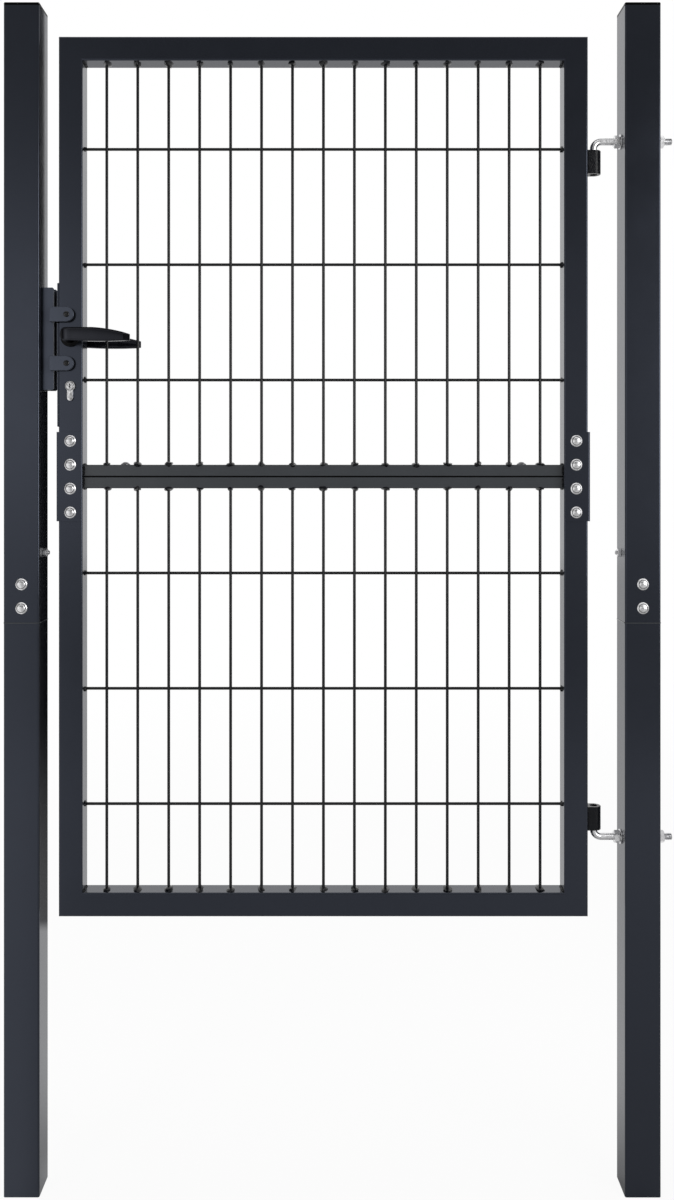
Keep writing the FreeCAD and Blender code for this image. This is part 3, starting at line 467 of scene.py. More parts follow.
def surface_group():
    """Grain, mottling and streaks that every finish shares, each with its own values.

    Tone = 1 + mottle (slow noise) + grain (fine noise) + streak (noise drawn out along X).
    """
    tree = bpy.data.node_groups.new("Surface", "ShaderNodeTree")
    for way, sockets in (("INPUT", ("Colour", "Roughness", "Grain scale", "Grain tone",
                                    "Mottle scale", "Mottle tone", "Roughness spread",
                                    "Streak tone")),
                         ("OUTPUT", ("Colour", "Roughness", "Height"))):
        for label in sockets:
            kind = "NodeSocketColor" if label == "Colour" else "NodeSocketFloat"
            tree.interface.new_socket(name=label, in_out=way, socket_type=kind)
    ins = {socket.name: Value(tree, socket) for socket in add(tree, "NodeGroupInput").outputs}
    out = add(tree, "NodeGroupOutput").inputs
    place = add(tree, "TexCoord").outputs["Object"]
    grain = noise(tree, place, ins["Grain scale"])
    mottle = noise(tree, place, ins["Mottle scale"], 3.0)
    drawn = add(tree, "Mapping")
    drawn.inputs["Scale"].default_value = STREAK_STRETCH
    tree.links.new(place, drawn.inputs["Vector"])
    streak = noise(tree, drawn.outputs["Vector"], 1.0, 1.0)
    tone = (1 + (grain - 0.5) * ins["Grain tone"] + (mottle - 0.5) * ins["Mottle tone"]
            + (streak - 0.5) * ins["Streak tone"])
    rough = ins["Roughness"] + (mottle - 0.5) * ins["Roughness spread"]
    height = grain + streak * ins["Streak tone"]
    shade = add(tree, "VectorMath", operation="SCALE")
    wire_up(tree, (ins["Colour"].socket, shade.inputs[0]), (tone.socket, shade.inputs["Scale"]),
            (shade.outputs[0], out["Colour"]), (rough.socket, out["Roughness"]),
            (height.socket, out["Height"]))
    return tree


def finish(name, colour, roughness, bump, grain, mottle, metallic=0.0, sheen=0.5,
           tint=(1, 1, 1), spread=0.1, streak=0.0):
    """A material: the shared surface group feeds a Principled shader and its bump."""
    material = bpy.data.materials.new(name)
    material.use_nodes = True
    tree = material.node_tree
    shader = tree.nodes["Principled BSDF"]
    surface = add(tree, "Group", node_tree=bpy.data.node_groups.get("Surface") or surface_group())
    values = ((*getattr(bpy.context.scene.gate_finishes, colour), 1), roughness, *grain, *mottle,
              spread, streak)
    for socket, value in zip(surface.inputs, values):
        socket.default_value = value
    relief = add(tree, "Bump")
    relief.inputs["Strength"].default_value = bump[0]
    relief.inputs["Distance"].default_value = bump[1] * MM
    shader.inputs["Metallic"].default_value = metallic
    shader.inputs["Specular IOR Level"].default_value = sheen
    shader.inputs["Specular Tint"].default_value = (*tint, 1)
    wire_up(tree, (surface.outputs["Colour"], shader.inputs["Base Color"]),
            (surface.outputs["Roughness"], shader.inputs["Roughness"]),
            (surface.outputs["Height"], relief.inputs["Height"]),
            (relief.outputs["Normal"], shader.inputs["Normal"]))
    return material


# Each finish takes its colour from the settings. A bump is its strength and its depth in
# millimetres; grain and mottle are each a scale and a tone.
COAT_TINT = (0.69, 0.77, 1.0)
STREAK_STRETCH = (25, 1800, 1800)
FINISHES = {
    "Powder coat": dict(colour="coat", roughness=0.16, sheen=0.65, tint=COAT_TINT,
                        bump=(0.12, 0.06), grain=(900, 0.30), mottle=(18, 0.14), spread=0.08),
    # A lighter copy of the powder coat: painted light on the keep and its stops.
    "Lit plate coat": dict(colour="plate", roughness=0.20, sheen=0.65, tint=COAT_TINT,
                       bump=(0.20, 0.08), grain=(700, 0.50), mottle=(60, 0.25)),
    # A lighter copy of the powder coat: painted light on the middle rails and the posts' seam
    # lips.
    "Lit rail coat": dict(colour="rail", roughness=0.18, bump=(0.10, 0.06), grain=(900, 0.30),
                      mottle=(25, 0.25), streak=0.30),
    "Weld coat": dict(colour="weld", roughness=0.12, sheen=0.22, bump=(0.90, 0.50),
                      grain=(600, 0.20), mottle=(150, 0.30), spread=0.15),
    "Wire coat": dict(colour="wire", roughness=0.22, sheen=0.34, bump=(0.08, 0.06),
                      grain=(1400, 0.20), mottle=(60, 0.25), spread=0.12),
    "Zinc": dict(colour="zinc", roughness=0.28, metallic=1, bump=(0.45, 0.25),
                 grain=(420, 0.25), mottle=(190, 0.45), spread=0.25),
    # A darker copy of the zinc for the rail screws: painted shade over the whole screw.
    "Shaded zinc": dict(colour="shaded_zinc", roughness=0.24, metallic=1, bump=(0.25, 0.15),
                      grain=(700, 0.20), mottle=(160, 0.40), spread=0.15),
    "Bright nut": dict(colour="nut", roughness=0.26, metallic=1, bump=(0.25, 0.15),
                       grain=(700, 0.15), mottle=(160, 0.20), spread=0.15),
    # Painted shade: the thin dark rings in the bolts' head grooves.
    "Head groove shade": dict(colour="groove", roughness=0.50, sheen=0.20, bump=(0.30, 0.10),
                        grain=(900, 0.30), mottle=(200, 0.30)),
    # The nickel's strong mottle paints bright and dark patches: painted reflection on the
    # cylinder.
    "Nickel": dict(colour="nickel", roughness=0.22, metallic=1, bump=(0.85, 0.30),
                   grain=(330, 0.30), mottle=(200, 2.60), spread=0.20),
    "Black lever": dict(colour="lever", roughness=0.16, sheen=0.42, tint=(0.80, 0.84, 1.0),
                        bump=(0.06, 0.06), grain=(1800, 0.30), mottle=(70, 0.30), streak=0.35),
    "Black rose": dict(colour="lever", roughness=0.14, sheen=0.10, bump=(0.10, 0.06),
                       grain=(1800, 0.30), mottle=(70, 0.30)),
    # The caps' black, also used for the painted shade at the cylinder's plug and between the
    # middle rails.
    "Cap": dict(colour="cap", roughness=0.30, sheen=0.06, bump=(0.35, 0.08),
                grain=(2600, 0.25), mottle=(50, 0.20)),
    "Buffer": dict(colour="rubber", roughness=0.14, sheen=0.40, bump=(0.20, 0.06),
                   grain=(2000, 0.20), mottle=(120, 0.20)),
}


def material(name):
    """One of the gate's finishes, made when it is first asked for."""
    return bpy.data.materials.get(name) or finish(name, **FINISHES[name])


def dress(names, finish_name):
    """Give CAD nodes one of the finishes."""
    for name in names:
        for place in NODES[name].material_slots:
            place.material = material(finish_name)


def soften(name, width):
    """Round a plate's cut edges: join the solid's triangles into flats, then bevel."""
    node = NODES[name]
    node.modifiers.new("Join", "WELD").merge_threshold = 0.002 * MM
    flats = node.modifiers.new("Flats", "DECIMATE")
    flats.decimate_type = "DISSOLVE"
    flats.angle_limit = math.radians(1)
    bevel = node.modifiers.new("Edges", "BEVEL")
    bevel.width = width
    bevel.segments = 3
    bevel.limit_method = "ANGLE"
    bevel.angle_limit = math.radians(40)
    node.modifiers.new("Shading", "WEIGHTED_NORMAL").weight = 100


def centre_of(name):
    low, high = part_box(name)
    return (low + high) / 2


class GATE_OT_coat_steel(Operator):
    """Coat the posts, the leaf's frame, the joint channels, the keep and its stops"""

    bl_idname = "gate.coat_steel"
    bl_label = "Coat the steel"

    def execute(self, context):
        sizes = context.scene.gate_fastenings
        tubes = ["top_rail", "bottom_rail"]
        tubes += [f"{side}_post_{part}" for side in ("latch", "hinge")
                  for part in ("lower", "upper", "sleeve")]
        tubes += [f"{half}_{side}_stile" for half in ("upper", "lower")
                  for side in ("latch", "hinge")]
        plates = ["latch_joint_channel", "hinge_joint_channel", "lock_forend"]
        stops = ["upper_stop", "lower_stop"]
        barrels = ["upper_hinge_barrel", "lower_hinge_barrel"]
        dress(tubes + plates, "Powder coat")
        dress(["keep"] + stops, "Lit plate coat")
        dress(barrels, "Weld coat")
        dress(["upper_mid_rail", "lower_mid_rail"], "Lit rail coat")
        for name in plates + ["keep"] + barrels:
            soften(name, sizes.plate_round)
        for name in stops:
            soften(name, sizes.stop_round)
        # Round each post's seam lies a thin lip of the lighter rail coat: its shape catches light,
        # and its lighter colour paints a highlight.
        lips = []
        for side in ("latch", "hinge"):
            for part in ("lower", "upper"):
                soften(f"{side}_post_{part}", sizes.cut_round)
            low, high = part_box(f"{side}_post_lower")
            lip = square_loop((high.x - low.x) / 2, POST_CORNER, sizes.seam_lip)
            lips.append(placed(lip, ((low.x + high.x) / 2, 0, high.z - sizes.seam_lip)))
        build("seam_lip_highlights", lips, material("Lit rail coat"), "posts", looped=True)
        return {"FINISHED"}


class GATE_OT_cap_posts(Operator):
    """Finish the moulded caps of the posts"""

    bl_idname = "gate.cap_posts"
    bl_label = "Cap the posts"

    def execute(self, context):
        dress(["latch_post_cap", "hinge_post_cap"], "Cap")
        return {"FINISHED"}


class GATE_OT_weave_mesh(Operator):
    """Make both welded meshes of round wire, with a weld dab at each wire's end"""

    bl_idname = "gate.weave_mesh"
    bl_label = "Weave the mesh"

    def execute(self, context):
        sizes = context.scene.gate_mesh
        radius = sizes.wire / 2
        set_back = radius - sizes.sunk
        columns = (np.arange(sizes.columns) - (sizes.columns - 1) / 2) * sizes.column_pitch
        rows = (np.arange(sizes.rows) - (sizes.rows - 1) / 2) * sizes.row_pitch
        for half in ("upper", "lower"):
            node = f"{half}_mesh"
            low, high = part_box(node)
            middle = (low + high) / 2
            upright = lathe([(radius, 0), (radius, high.z - low.z)], 16)
            level = lathe([(radius, 0), (radius, high.x - low.x)], 16)
            wires, dabs = [], []
            for number, across in enumerate(columns + middle.x):
                wires.append(placed(upright, (across, -set_back, low.z)))
                dabs += [self.dab((across, -set_back, up), (1.05, 2.2, 0.75), sizes.dab,
                                  7 * number + end) for end, up in enumerate((low.z, high.z))]
            for number, up in enumerate(rows + middle.z):
                wires.append(placed(level, (low.x, set_back, up), "hinge"))
                dabs += [self.dab((across, set_back, up), (0.6, 1, 0.8), sizes.dab,
                                  400 + 7 * number + end)
                         for end, across in enumerate((low.x, high.x))]
            build(f"{half}_wires", wires, material("Wire coat"), "leaf", [node])
            build(f"{half}_wire_welds", dabs, material("Weld coat"), "leaf")
        return {"FINISHED"}

    def dab(self, at, shape, radius, seed):
        """The weld at a wire's end: a lump of a random size, drawn from its seed."""
        draw = np.random.default_rng(seed)
        size = radius * draw.uniform(0.85, 1.1, 3) * np.array(shape)
        return lump(at, size, seed, amount=0.26)


class GATE_OT_weld_frame(Operator):
    """Lay the weld beads of the middle rails, the frame's inner corners and the barrels"""

    bl_idname = "gate.weld_frame"
    bl_label = "Weld the frame"

    def execute(self, context):
        radius = context.scene.gate_mesh.bead
        inset, end_inset, wall_inset = 2 * MM, 1 * MM, 4 * MM
        upper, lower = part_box("upper_mid_rail"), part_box("lower_mid_rail")
        beads = [((across, deep, low.z + inset), (across, deep, high.z - inset))
                 for low, high in (upper, lower)
                 for across in (low.x, high.x) for deep in (low.y, high.y)]
        for (low, high), level in ((upper, upper[1].z), (lower, lower[0].z)):
            beads += [((across, low.y + end_inset, level), (across, high.y - end_inset, level))
                      for across in (low.x, high.x)]
        for half, rail, edge in (("upper", "top_rail", 0), ("lower", "bottom_rail", 1)):
            level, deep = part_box(rail)[edge].z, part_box(rail)[1].y - wall_inset
            low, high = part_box(f"{half}_mesh")
            beads += [((across, -deep, level), (across, deep, level))
                      for across in (low.x, high.x)]
        surfaces = [bead(start, end, radius, 900 + number)
                    for number, (start, end) in enumerate(beads)]
        build("frame_welds", surfaces, material("Weld coat"), "leaf")
        surfaces = []
        for number, node in enumerate(("upper_hinge_barrel", "lower_hinge_barrel")):
            low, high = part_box(node)
            surfaces += [bead((low.x, deep, low.z + inset), (low.x, deep, high.z - inset),
                              1.3 * radius, 950 + number, pitch=3.4 * MM)
                         for deep in (low.y, high.y)]
        low, high = upper
        # A thin dark strip in the caps' black along the groove between the middle rails: painted
        # shade.
        thick, half_width, sunk = 0.10 * MM, 1.35 * MM, 0.12 * MM
        shade = lathe([(1, 0), (1, high.x - low.x)], 12) * np.array((thick, half_width, 1))
        build("joint_shade", [placed(shade, (low.x, low.y + sunk, low.z), "hinge")],
              material("Cap"), "leaf")
        build("barrel_welds", surfaces, material("Weld coat"), "leaf")
        return {"FINISHED"}


class GATE_OT_fit_bolts(Operator):
    """Fit the carriage bolts and nuts of the posts and joint channels, and the screws"""

    bl_idname = "gate.fit_bolts"
    bl_label = "Fit the bolts"

    def execute(self, context):
        sizes = context.scene.gate_fastenings
        channel_low, channel_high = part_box("latch_joint_channel")
        pitch, side_bolt_up, front_bolts_up = 40 * MM, 115 * MM, (24 * MM, 64 * MM)
        rises = [(channel_low.z + channel_high.z) / 2 + step * pitch
                 for step in (-1.5, -0.5, 0.5, 1.5)]
        places = [(centre_of(f"upper_{side}_stile").x, channel_low.y, up)
                  for side in ("latch", "hinge") for up in rises]
        self.fit("joint", places, channel_high.y, sizes)
        for side in ("latch", "hinge"):
            low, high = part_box(f"{side}_post_upper")
            front = [((low.x + high.x) / 2, low.y, low.z + up) for up in front_bolts_up]
            self.fit(f"{side}_post", front, high.y, sizes, (low, high, low.z + side_bolt_up, side))
        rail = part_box("upper_mid_rail")[1].z
        low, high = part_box("mid_rail_screws")
        head, threaded = 16 * MM, 6 * MM
        screw = carriage_bolt(sizes.bolt, head, high.z - rail, sizes.head_rim, rail - low.z,
                              sizes.bolt_pitch, threaded)
        screws = [placed(screw, (across, 0, rail))
                  for across in (low.x + head / 2, high.x - head / 2)]
        # The rail screws take the darker copy of the zinc, a painted shade.
        build("rail_screws", screws, material("Shaded zinc"), "leaf",
              ["mid_rail_screws"])
        low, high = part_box("keep_screws")
        head, rise, size, key = 12 * MM, 3 * MM, 6 * MM, 4 * MM
        screw = socket_screw(head, rise, size, high.x - rise - low.x, key)
        screws = [placed(screw, (high.x - rise, 0, up), "hinge")
                  for up in (low.z + head / 2, high.z - head / 2)]
        build("keep_fixings", screws, material("Zinc"), "posts", ["keep_screws"])
        return {"FINISHED"}

    def groove(self, inner, outer, low, high):
        """A thin dark ring in a bolt head's groove, painted shade, as a closed profile about Z."""
        return lathe([(inner, low), (outer, low), (outer, high), (inner, high)], 40)

    def fit(self, group, places, back, sizes, side_bolt=None):
        """Bolts through from their seats to the far face, each with its nut."""
        opposite = {"front": "back", "hinge": "latch", "latch": "hinge"}
        threaded = 12 * MM
        spots = [(seat, "front", (seat[0], back, seat[2]), back - seat[1]) for seat in places]
        if side_bolt:
            low, high, up, side = side_bolt
            outside, inside = (high.x, low.x) if side == "hinge" else (low.x, high.x)
            spots.append(((outside, 0, up), side, (inside, 0, up), high.x - low.x))
        nut = hex_nut(sizes.nut, sizes.nut_depth, sizes.bolt / 2 + sizes.play)
        # A thin dark ring in each bolt head's groove is painted shade.
        groove = self.groove(6.6 * MM, 7.7 * MM, 1.8 * MM, 2.42 * MM)
        bolts, nuts, groove_shades = [], [], []
        for seat, way, far, grip in spots:
            bolt = carriage_bolt(sizes.bolt, sizes.head, sizes.head_rise, sizes.head_rim,
                                 grip + sizes.tail, sizes.bolt_pitch, threaded)
            bolts.append(placed(bolt, seat, way))
            nuts.append(placed(nut, far, opposite[way]))
            groove_shades.append(placed(groove, seat, way))
        body = BODY_OF[f"{group}_bolts"]
        build(f"{group}_carriage_bolts", bolts, material("Zinc"), body,
              [f"{group}_bolts"])
        build(f"{group}_hex_nuts", nuts, material("Bright nut"), body,
              [f"{group}_nuts"], looped=True)
        build(f"{group}_head_groove_shades", groove_shades, material("Head groove shade"), body,
              looped=True)


class GATE_OT_hang_hinges(Operator):
    """Make the bent hinge bolts with their threads, nuts and washers"""

    bl_idname = "gate.hang_hinges"
    bl_label = "Hang the hinges"

    def execute(self, context):
        sizes = context.scene.gate_fastenings
        radius = sizes.hinge_bolt / 2
        nut = hex_nut(sizes.hinge_nut, sizes.hinge_nut_depth, radius + sizes.play)
        ring = washer(sizes.washer / 2, radius + sizes.play, sizes.washer_depth)
        nuts, washers = [], []
        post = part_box("hinge_post_upper")
        for side in ("upper", "lower"):
            node = f"{side}_hinge_bolt"
            low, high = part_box(node)
            level, pin_end = ((high.z - radius, low.z) if side == "upper"
                              else (low.z + radius, high.z))
            build(f"{side}_bent_bolt", [self.rod(low.x + radius, pin_end, level, high.x, sizes)],
                  material("Zinc"), "posts", [node])
            for face, aim, sign in ((post[0].x, "latch", -1), (post[1].x, "hinge", 1)):
                washers.append(placed(ring, (face, 0, level), aim))
                nuts.append(placed(nut, (face + sign * sizes.washer_depth, 0, level), aim))
        build("hinge_hex_nuts", nuts, material("Bright nut"), "posts", ["hinge_nuts"],
              looped=True)
        build("hinge_flat_washers", washers, material("Zinc"), "posts",
              ["hinge_washers"], looped=True)
        return {"FINISHED"}

    def rod(self, axis, pin_end, level, end, sizes):
        """Pin, quarter bend and threaded rod: rings at even steps along the path."""
        columns, rows_a_turn, plain_rod, pin_edge = 28, 6, 22 * MM, 0.8 * MM
        radius, bend, pitch = sizes.hinge_bolt / 2, sizes.hinge_bend, sizes.hinge_pitch
        tip = radius - 0.7 * pitch
        sign = 1 if level > pin_end else -1
        bend_start = level - sign * bend
        turn = np.linspace(0, math.pi / 2, 14)
        run = np.arange(pitch, end - axis - bend, pitch / rows_a_turn)
        points = [(axis, 0, pin_end), (axis, 0, pin_end + sign * pin_edge)]
        points += [(axis + bend * (1 - math.cos(a)), 0, bend_start + sign * bend * math.sin(a))
                   for a in turn]
        points += [(axis + bend + s, 0, level) for s in run] + [(end, 0, level)]
        tangents = [(0, 0, sign)] * 2 + [(math.sin(a), 0, sign * math.cos(a)) for a in turn]
        tangents += [(1, 0, 0)] * (len(run) + 1)
        radii = np.full((len(points), columns), radius)
        radii[0] = radius - pin_edge
        end_cut = np.clip(tip + (run[-1] - run), 0, radius)[:, None]
        radii[2 + len(turn):-1] = np.minimum(
            thread_radii(run, radius, pitch, columns, plain_rod), end_cut)
        radii[-1] = tip
        return swept(np.array(points, float), np.array(tangents, float), radii)


class GATE_OT_fit_lock(Operator):
    """Finish the lock: its case and bolts, its front plate's screws and its cylinder"""

    bl_idname = "gate.fit_lock"
    bl_label = "Fit the lock"

    def execute(self, context):
        dress(["lock_case", "lock_bolts"], "Zinc")
        low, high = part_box("lock_forend")
        inset = 10 * MM
        screws = [placed(self.countersunk(), (low.x, 0, up), "latch")
                  for up in (low.z + inset, high.z - inset)]
        build("forend_screws", screws, material("Zinc"), "leaf")
        low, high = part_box("lock_cylinder")
        plug, leg, edge = 8.5 * MM, 5 * MM, 0.5 * MM
        plug_height = high.z - plug
        middle = centre_of("lock_cylinder").x
        outline = self.profile(plug, leg, high.z - low.z)
        half = (high.y - low.y) / 2
        rings = [(edge, -half), (0, edge - half), (0, half - edge), (edge, half)]
        body = np.stack([np.column_stack([outline * (1 - inset / plug),
                                          np.full(len(outline), up)]) for inset, up in rings])
        surfaces = [placed(body, (middle, 0, plug_height), "front")]
        shades = []
        for aim, face in (("front", low.y), ("back", high.y)):
            seat = np.array((middle, face, plug_height))
            turned = np.array((-1, -1, 1)) if aim == "back" else 1
            surfaces.append(placed(self.plug(), (0, 0, 0), "front") * turned + seat)
            shades += [placed(part, (0, 0, 0), "front") * turned + seat
                       for part in self.shades()]
        build("profile_cylinder", surfaces, material("Nickel"), "leaf",
              ["lock_cylinder"])
        # This piece is painted shade in the caps' black: thin dark rings over the gap round the
        # plug and in the key's slot.
        build("keyway_shade", shades, material("Cap"), "leaf", looped=True)
        return {"FINISHED"}

    def profile(self, plug, leg, height):
        """A round plug over a round-ended leg, as x and z about the plug's centre."""
        neck = math.asin(leg / plug)
        arc = np.linspace(-math.pi / 2 + neck, 1.5 * math.pi - neck, 44)
        foot = height - plug - leg
        base = np.linspace(math.pi, 2 * math.pi, 15)
        top = np.column_stack([plug * np.cos(arc), plug * np.sin(arc)])
        low = np.column_stack([leg * np.cos(base), leg * np.sin(base) - foot])
        return np.concatenate([top, low])

    def plug(self):
        """The turning core: a low disc with a cut rim, and a slot for the key sunk into its face.
        """
        sides = 60
        around = angles(sides)
        slot_up = 4.3 * MM * np.sin(around)
        bend = 0.55 * MM * np.sin(slot_up * 1500)
        slot_across = 0.85 * MM * np.sign(np.cos(around)) * np.abs(np.cos(around)) ** 0.25 + bend
        disc = lathe(np.array([(6.4, 0.05), (6.4, 0.5), (6.1, 0.75)]) * MM, sides)
        slot = [np.column_stack([slot_across, slot_up, np.full(sides, height * MM)])
                for height in (0.75, -4.0)]
        return np.concatenate([disc, slot])

    def shades(self):
        """Painted shade: thin raised dark rings in the gap round the plug and in the key's slot.
        """
        sides = 40
        around = angles(sides)
        ring = lathe(np.array([(6.5, 0.02), (7.2, 0.02), (7.2, 0.12), (6.5, 0.12)]) * MM, sides)
        slot = []
        for reach, height in ((0.01, 0.70), (1.0, 0.70), (1.0, 0.82), (0.01, 0.82)):
            up = 4.4 * MM * reach * np.sin(around)
            across = 1.15 * MM * reach * np.cos(around) + 0.6 * MM * np.sin(up * 1500)
            slot.append(np.column_stack([across, up, np.full(sides, height * MM)]))
        return [ring, np.stack(slot)]

    def countersunk(self):
        """A flat screw head flush with the plate, with a cross recess."""
        sides = 48
        cross = 1.0 + 1.3 * np.abs(np.cos(2 * angles(sides))) ** 8
        return MM * lathe([(3.6, -0.6), (3.9, 0.12), (3.6, 0.3), (cross, 0.3),
                           (0.7 * cross, -1.5)], sides)


class GATE_OT_fit_levers(Operator):
    """Make both levers and the roses that they turn in"""

    bl_idname = "gate.fit_levers"
    bl_label = "Fit the levers"

    def execute(self, context):
        sizes = context.scene.gate_levers
        dress(["spindle"], "Zinc")
        axis = centre_of("spindle")
        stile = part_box("upper_latch_stile")
        neck = np.array(((8.6, 20.3), (9.0, 20.8), (9.0, 44), (9.3, 48), (9.9, 51.5),
                         (10.2, 54.6), (9.6, 55.2))) * MM
        for side in ("front", "back"):
            grip = self.grip(sizes)
            if side == "front":
                grip = (grip * np.array((1, -1, 1)))[:, ::-1]
            surfaces = [grip + np.array(axis), placed(lathe(neck, 48), axis, side)]
            build(f"{side}_handle", surfaces, material("Black lever"), "handle",
                  [f"{side}_lever"], sharp=28)
        depth = 7 * MM
        rim, bore = 16 * MM, 9.06 * MM
        profile = [(bore, 0), (rim, 0), (rim, 0.62 * depth), (rim - 0.3 * MM, 0.74 * depth),
                   (rim - 1.1 * MM, 0.84 * depth), (rim - 3.6 * MM, 0.90 * depth),
                   (rim - 4.0 * MM, 0.97 * depth), (rim - 4.6 * MM, depth),
                   (bore + 0.9 * MM, depth), (bore + 0.3 * MM, 0.94 * depth), (bore, 0.8 * depth)]
        roses = [placed(lathe(profile, 64), (axis.x, stile[number].y, axis.z), side)
                 for number, side in enumerate(("front", "back"))]
        build("turned_roses", roses, material("Black rose"), "leaf", ["roses"],
              looped=True)
        return {"FINISHED"}

    def grip(self, sizes):
        """The back lever's grip, in metres from the lever axis: bevelled sections along X.

        The top falls in a bow, the bottom bellies, the heel rounds off in plan and in
        elevation by quarter ellipses, and the face falls straight back along the tip's facet.
        """
        heel, tip, heel_round = -9 * MM, 106 * MM, 8 * MM
        facet_start = tip - sizes.facet
        curve = heel + heel_round * (1 - np.cos(np.linspace(0.12, math.pi / 2, 10)))
        stations = np.concatenate([curve, np.linspace(0.5 * MM, facet_start, 40),
                                   [facet_start + 0.4 * MM], np.linspace(facet_start + 3 * MM,
                                                                         tip - 0.8 * MM, 4),
                                   [tip - 0.25 * MM, tip]])
        shoulder, bow = 14 * MM, 260 * MM
        rise, tip_rise, drop = 12.5 * MM, 1.5 * MM, 11 * MM
        run, fall = tip - shoulder, rise - tip_rise
        lean = math.atan2(fall, run) - math.asin(math.hypot(run, fall) / 2 / bow)
        centre = (shoulder - bow * math.sin(lean), rise - bow * math.cos(lean))
        past = np.maximum(stations, shoulder)
        top = np.minimum(centre[1] + np.sqrt(bow ** 2 - (past - centre[0]) ** 2), rise)
        share = np.clip((stations - shoulder) / run, 0, 1)
        bottom = -drop + sizes.belly * (1 - np.sin(math.pi * share) ** 0.8)
        heel_in = np.clip((stations - heel) / heel_round, 0, 1)
        corner = heel_round * (1 - np.sqrt(1 - (1 - heel_in) ** 2))
        top, bottom = top - corner, bottom + corner * (drop - sizes.belly - 1 * MM) / heel_round
        plan = np.clip((sizes.face_start - stations) / (sizes.face_start - heel), 0, 1)
        outer = 56 * MM + 10 * MM * (1 - plan) ** 0.6
        outer = outer - sizes.facet_fall * np.clip((stations - facet_start) / sizes.facet, 0, 1)
        inner = np.full(len(stations), 54 * MM)
        end = np.clip((stations - tip + 0.8 * MM) / (0.8 * MM), 0, 1)
        inset = 0.6 * MM * (1 - np.sqrt(1 - end ** 2))
        return self.sections(stations, inner + inset, outer - inset, bottom + inset, top - inset,
                             sizes)

    def sections(self, stations, inner, outer, bottom, top, sizes):
        """Eight-cornered sections, each corner a short quadratic curve between its two edges."""
        reach = np.minimum(outer - inner, top - bottom)
        cut = np.minimum(sizes.bevel, 0.3 * reach)
        lip = np.minimum(1.5 * MM, 0.2 * reach)
        back = np.minimum(3 * MM, 0.3 * reach)
        corners = np.stack([
            np.stack([outer, bottom + lip], axis=-1),
            np.stack([outer, top - cut], axis=-1),
            np.stack([outer - cut, top], axis=-1),
            np.stack([inner + back, top], axis=-1),
            np.stack([inner, top - back], axis=-1),
            np.stack([inner, bottom + back], axis=-1),
            np.stack([inner + back, bottom], axis=-1),
            np.stack([outer - lip, bottom], axis=-1),
        ], axis=1)
        before = np.roll(corners, 1, axis=1) - corners
        after = np.roll(corners, -1, axis=1) - corners
        soft = np.minimum(0.8 * MM, 0.12 * reach)[:, None, None]
        start = corners + before / np.linalg.norm(before, axis=-1, keepdims=True) * soft
        stop = corners + after / np.linalg.norm(after, axis=-1, keepdims=True) * soft
        share = np.linspace(0, 1, 4)[:, None]
        curve = ((1 - share) ** 2 * start[:, :, None] + 2 * share * (1 - share)
                 * corners[:, :, None] + share ** 2 * stop[:, :, None])
        flat = curve.reshape(len(stations), -1, 2)
        return np.concatenate([np.broadcast_to(stations[:, None, None], (*flat.shape[:2], 1)),
                               flat], axis=-1)


class GATE_OT_fit_stops(Operator):
    """Make the rubber buffers of the stops"""

    bl_idname = "gate.fit_stops"
    bl_label = "Fit the buffers"

    def execute(self, context):
        low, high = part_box("stop_buffers")
        middle = centre_of("stop_buffers").x
        profile = [(7.2, 0), (8, 0.8), (8, 4.6), (7.6, 5), (3.5, 5), (3.5, 9), (4.9, 9),
                   (5.0, 9.3), (4.6, 10.2), (3.6, 10.8), (2.2, 10.9), (1.7, 10.5), (1.2, 10.5),
                   (0.9, 11), (0.1, 11)]
        surface = lathe(np.array(profile) * MM, 32)
        buffers = [placed(surface, (middle, high.y, up), "front")
                   for up in (low.z + 8 * MM, high.z - 8 * MM)]
        build("rubber_buffers", buffers, material("Buffer"), "posts",
              ["stop_buffers"])
        return {"FINISHED"}


